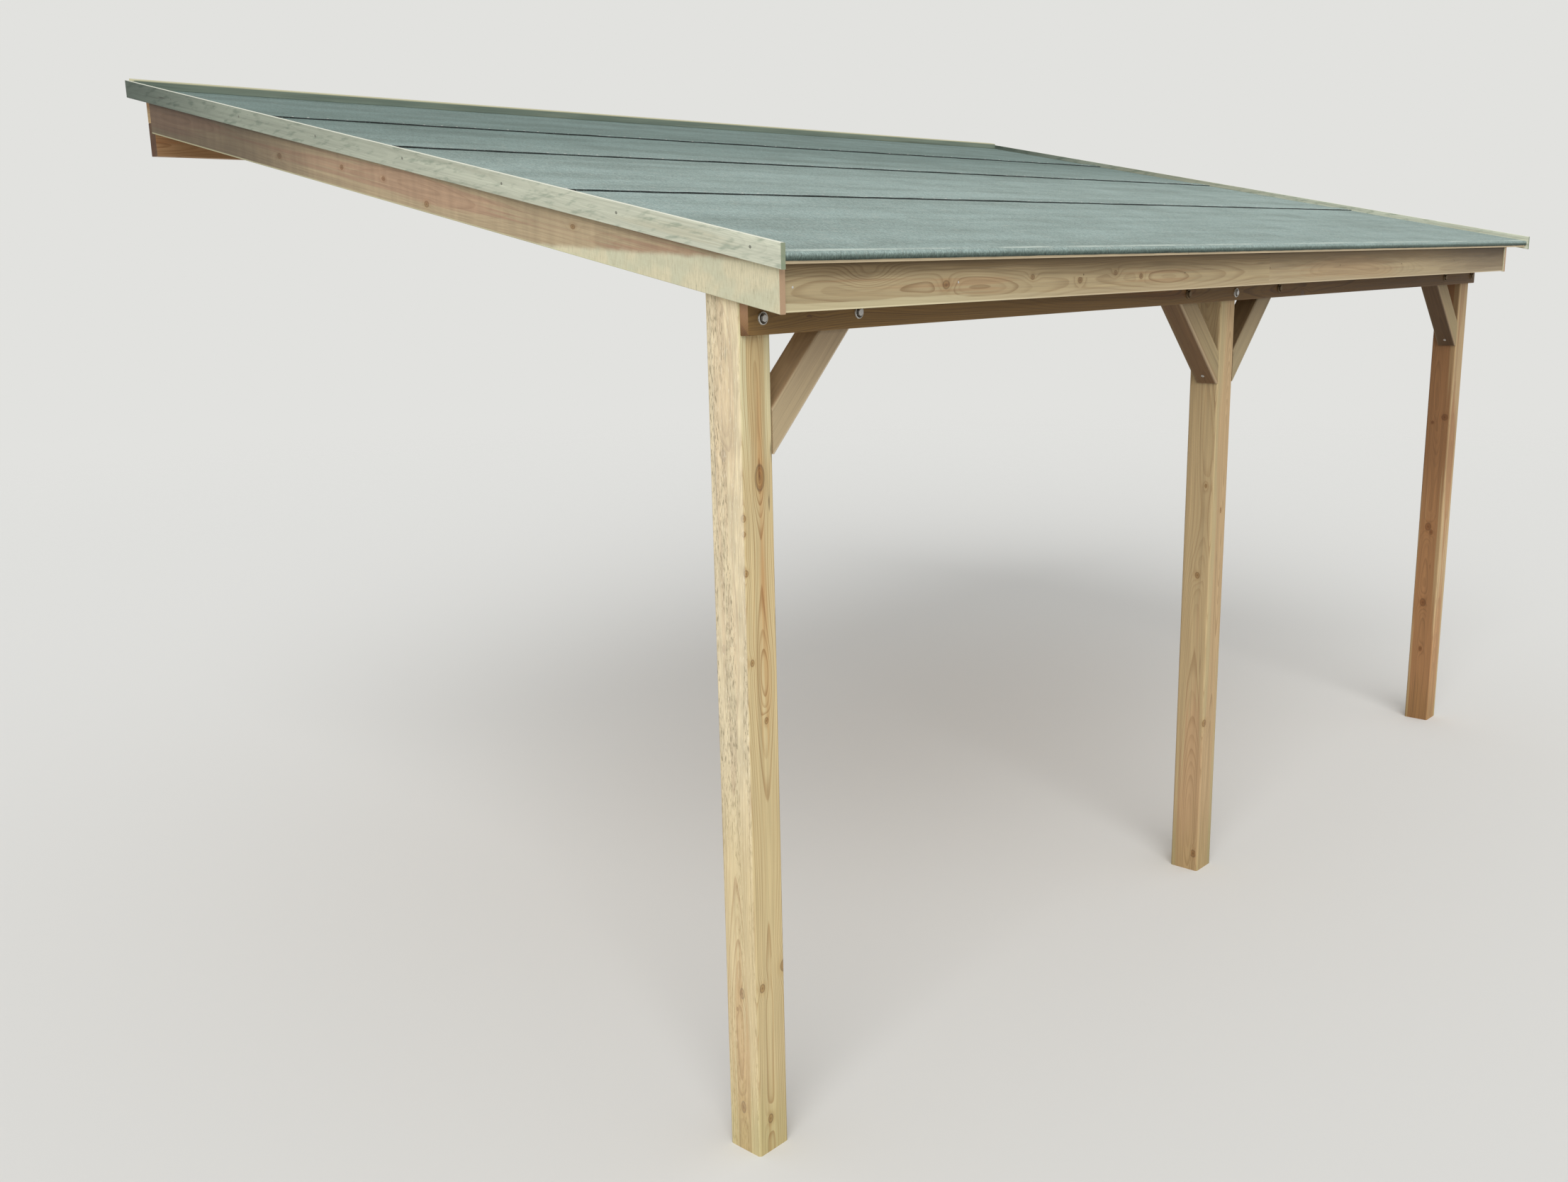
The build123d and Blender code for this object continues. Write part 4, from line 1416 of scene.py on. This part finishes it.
class CARPORT_OT_stage(Operator):
    """Set the floor, the soft studio light and the camera"""
    bl_idname = "carport.stage"
    bl_label = "Set stage"

    def execute(self, context):
        scene = context.scene
        values = scene.carport_stage
        self.lay_floor(scene, values)
        self.light(scene, values)
        self.aim_camera(scene, values)
        scene.view_settings.view_transform = "Standard"
        return {"FINISHED"}

    def lay_floor(self, scene, values):
        """A wide square whose material fades to the background with distance from the carport."""
        made, graph, shader, place = new_material("stage_floor")
        shader.inputs["Base Color"].default_value = opaque(values.floor)
        shader.inputs["Roughness"].default_value = 0.9
        shader.inputs["Specular IOR Level"].default_value = 0.1
        reach = graph.vector("DISTANCE", place, (0.0, -1.5, YARD.z))
        clear = graph.node("ShaderNodeBsdfTransparent").outputs[0]
        fade = graph.node("ShaderNodeMixShader",
                          {0: graph.ramp(reach, 7.0, 19.0), 1: shader.outputs[0], 2: clear})
        graph.feed(made.node_tree.nodes["Material Output"].inputs["Surface"], fade.outputs[0])
        half = 30.0
        corners = [(-half, -half, YARD.z), (half, -half, YARD.z), (half, half, YARD.z),
                   (-half, half, YARD.z)]
        mesh = bpy.data.meshes.new("stage_floor")
        mesh.from_pydata(corners, [], [(0, 1, 2, 3)])
        mesh.materials.append(made)
        floor = bpy.data.objects.new("stage_floor", mesh)
        scene.collection.objects.link(floor)

    def light(self, scene, values):
        """An even world, shown pale to the camera and in reflections, and one wide soft sun."""
        world = bpy.data.worlds.new("studio")
        scene.world = world
        world.use_nodes = True
        graph = Graph(world.node_tree)
        world.node_tree.nodes.clear()
        rays = graph.node("ShaderNodeLightPath").outputs
        seen = graph.math("MAXIMUM", rays["Is Camera Ray"], rays["Is Glossy Ray"])
        seen = graph.math("MAXIMUM", seen, rays["Is Transmission Ray"])
        glow = graph.node("ShaderNodeBackground", {"Color": (1.0, 1.0, 1.0, 1.0), "Strength": values.world})
        pale = graph.node("ShaderNodeBackground", {"Color": opaque(values.floor), "Strength": 1.0})
        both = graph.node("ShaderNodeMixShader", {0: seen, 1: glow.outputs[0], 2: pale.outputs[0]})
        graph.node("ShaderNodeOutputWorld", {"Surface": both.outputs[0]})
        lamp = bpy.data.lights.new("soft_sun", "SUN")
        lamp.energy = values.lamp
        lamp.angle = math.radians(50)
        sun = bpy.data.objects.new("soft_sun", lamp)
        sun.rotation_mode = "QUATERNION"
        sun.rotation_quaternion = Vector((0.66, 0.50, -0.56)).to_track_quat("-Z", "Y")
        scene.collection.objects.link(sun)

    def aim_camera(self, scene, values):
        """The photograph's place and angle: a level heading, a dip and a small roll."""
        heading, dip, roll = values.heading, values.dip, values.roll
        forward = Vector((math.sin(heading) * math.cos(dip), math.cos(heading) * math.cos(dip),
                          -math.sin(dip)))
        level = Vector((math.cos(heading), -math.sin(heading), 0))
        upright = level.cross(forward)
        right = level * math.cos(roll) + upright * math.sin(roll)
        up = right.cross(forward)
        eye = bpy.data.cameras.new("camera")
        eye.sensor_width = 36.0
        eye.lens = values.lens
        camera = bpy.data.objects.new("camera", eye)
        turn = Matrix((right, up, -forward)).transposed().to_4x4()
        camera.matrix_world = Matrix.Translation(yard(*values.camera_place)) @ turn
        scene.collection.objects.link(camera)
        scene.camera = camera


# Add-on

GROUPS = {
    "carport_grain": CARPORT_PG_grain, "carport_felt": CARPORT_PG_felt,
    "carport_fixings": CARPORT_PG_fixings, "carport_stage": CARPORT_PG_stage,
}
GROUPS.update({"carport_" + name: group for name, group in FINISHES.items()})
STEPS = [
    CARPORT_OT_finish_posts, CARPORT_OT_finish_braces, CARPORT_OT_finish_beam, CARPORT_OT_finish_roof_timber,
    CARPORT_OT_finish_roof_boards, CARPORT_OT_finish_face_boards, CARPORT_OT_finish_trims,
    CARPORT_OT_lay_felt, CARPORT_OT_fit_coach_bolts, CARPORT_OT_fit_wall_bolts,
    CARPORT_OT_fit_brace_screws, CARPORT_OT_drive_nails, CARPORT_OT_tack_felt, CARPORT_OT_stage,
]


class CARPORT_PT_panel(Panel):
    """Sizes, colours and steps of the carport"""
    bl_label = "Carport"
    bl_idname = "CARPORT_PT_panel"
    bl_space_type = "VIEW_3D"
    bl_region_type = "UI"
    bl_category = "Carport"

    def draw(self, context):
        for step in STEPS:
            self.layout.operator(step.bl_idname)
        for name in GROUPS:
            values = getattr(context.scene, name)
            box = self.layout.box()
            box.label(text=name.replace("carport_", "").replace("_", " ").capitalize())
            for key in values.__annotations__:
                box.prop(values, key)


CLASSES = [*GROUPS.values(), *STEPS, CARPORT_PT_panel]


def register():
    for made in CLASSES:
        bpy.utils.register_class(made)
    for name, group in GROUPS.items():
        setattr(bpy.types.Scene, name, PointerProperty(type=group))


def unregister():
    for name in GROUPS:
        delattr(bpy.types.Scene, name)
    for made in reversed(CLASSES):
        bpy.utils.unregister_class(made)


def corners(box):
    """A box as plain lists of numbers."""
    return [list(corner) for corner in box]


def main():
    """Run every step in order and write the CAD box and the finished model's box."""
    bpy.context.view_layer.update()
    register()
    knot_group()
    pine_group(bpy.context.scene.carport_grain)
    for step in STEPS:
        area, name = step.bl_idname.split(".")
        result = getattr(getattr(bpy.ops, area), name)()
        if result != {"FINISHED"}:
            raise RuntimeError(step.bl_label + " did not finish")


if __name__ == "__main__":
    main()
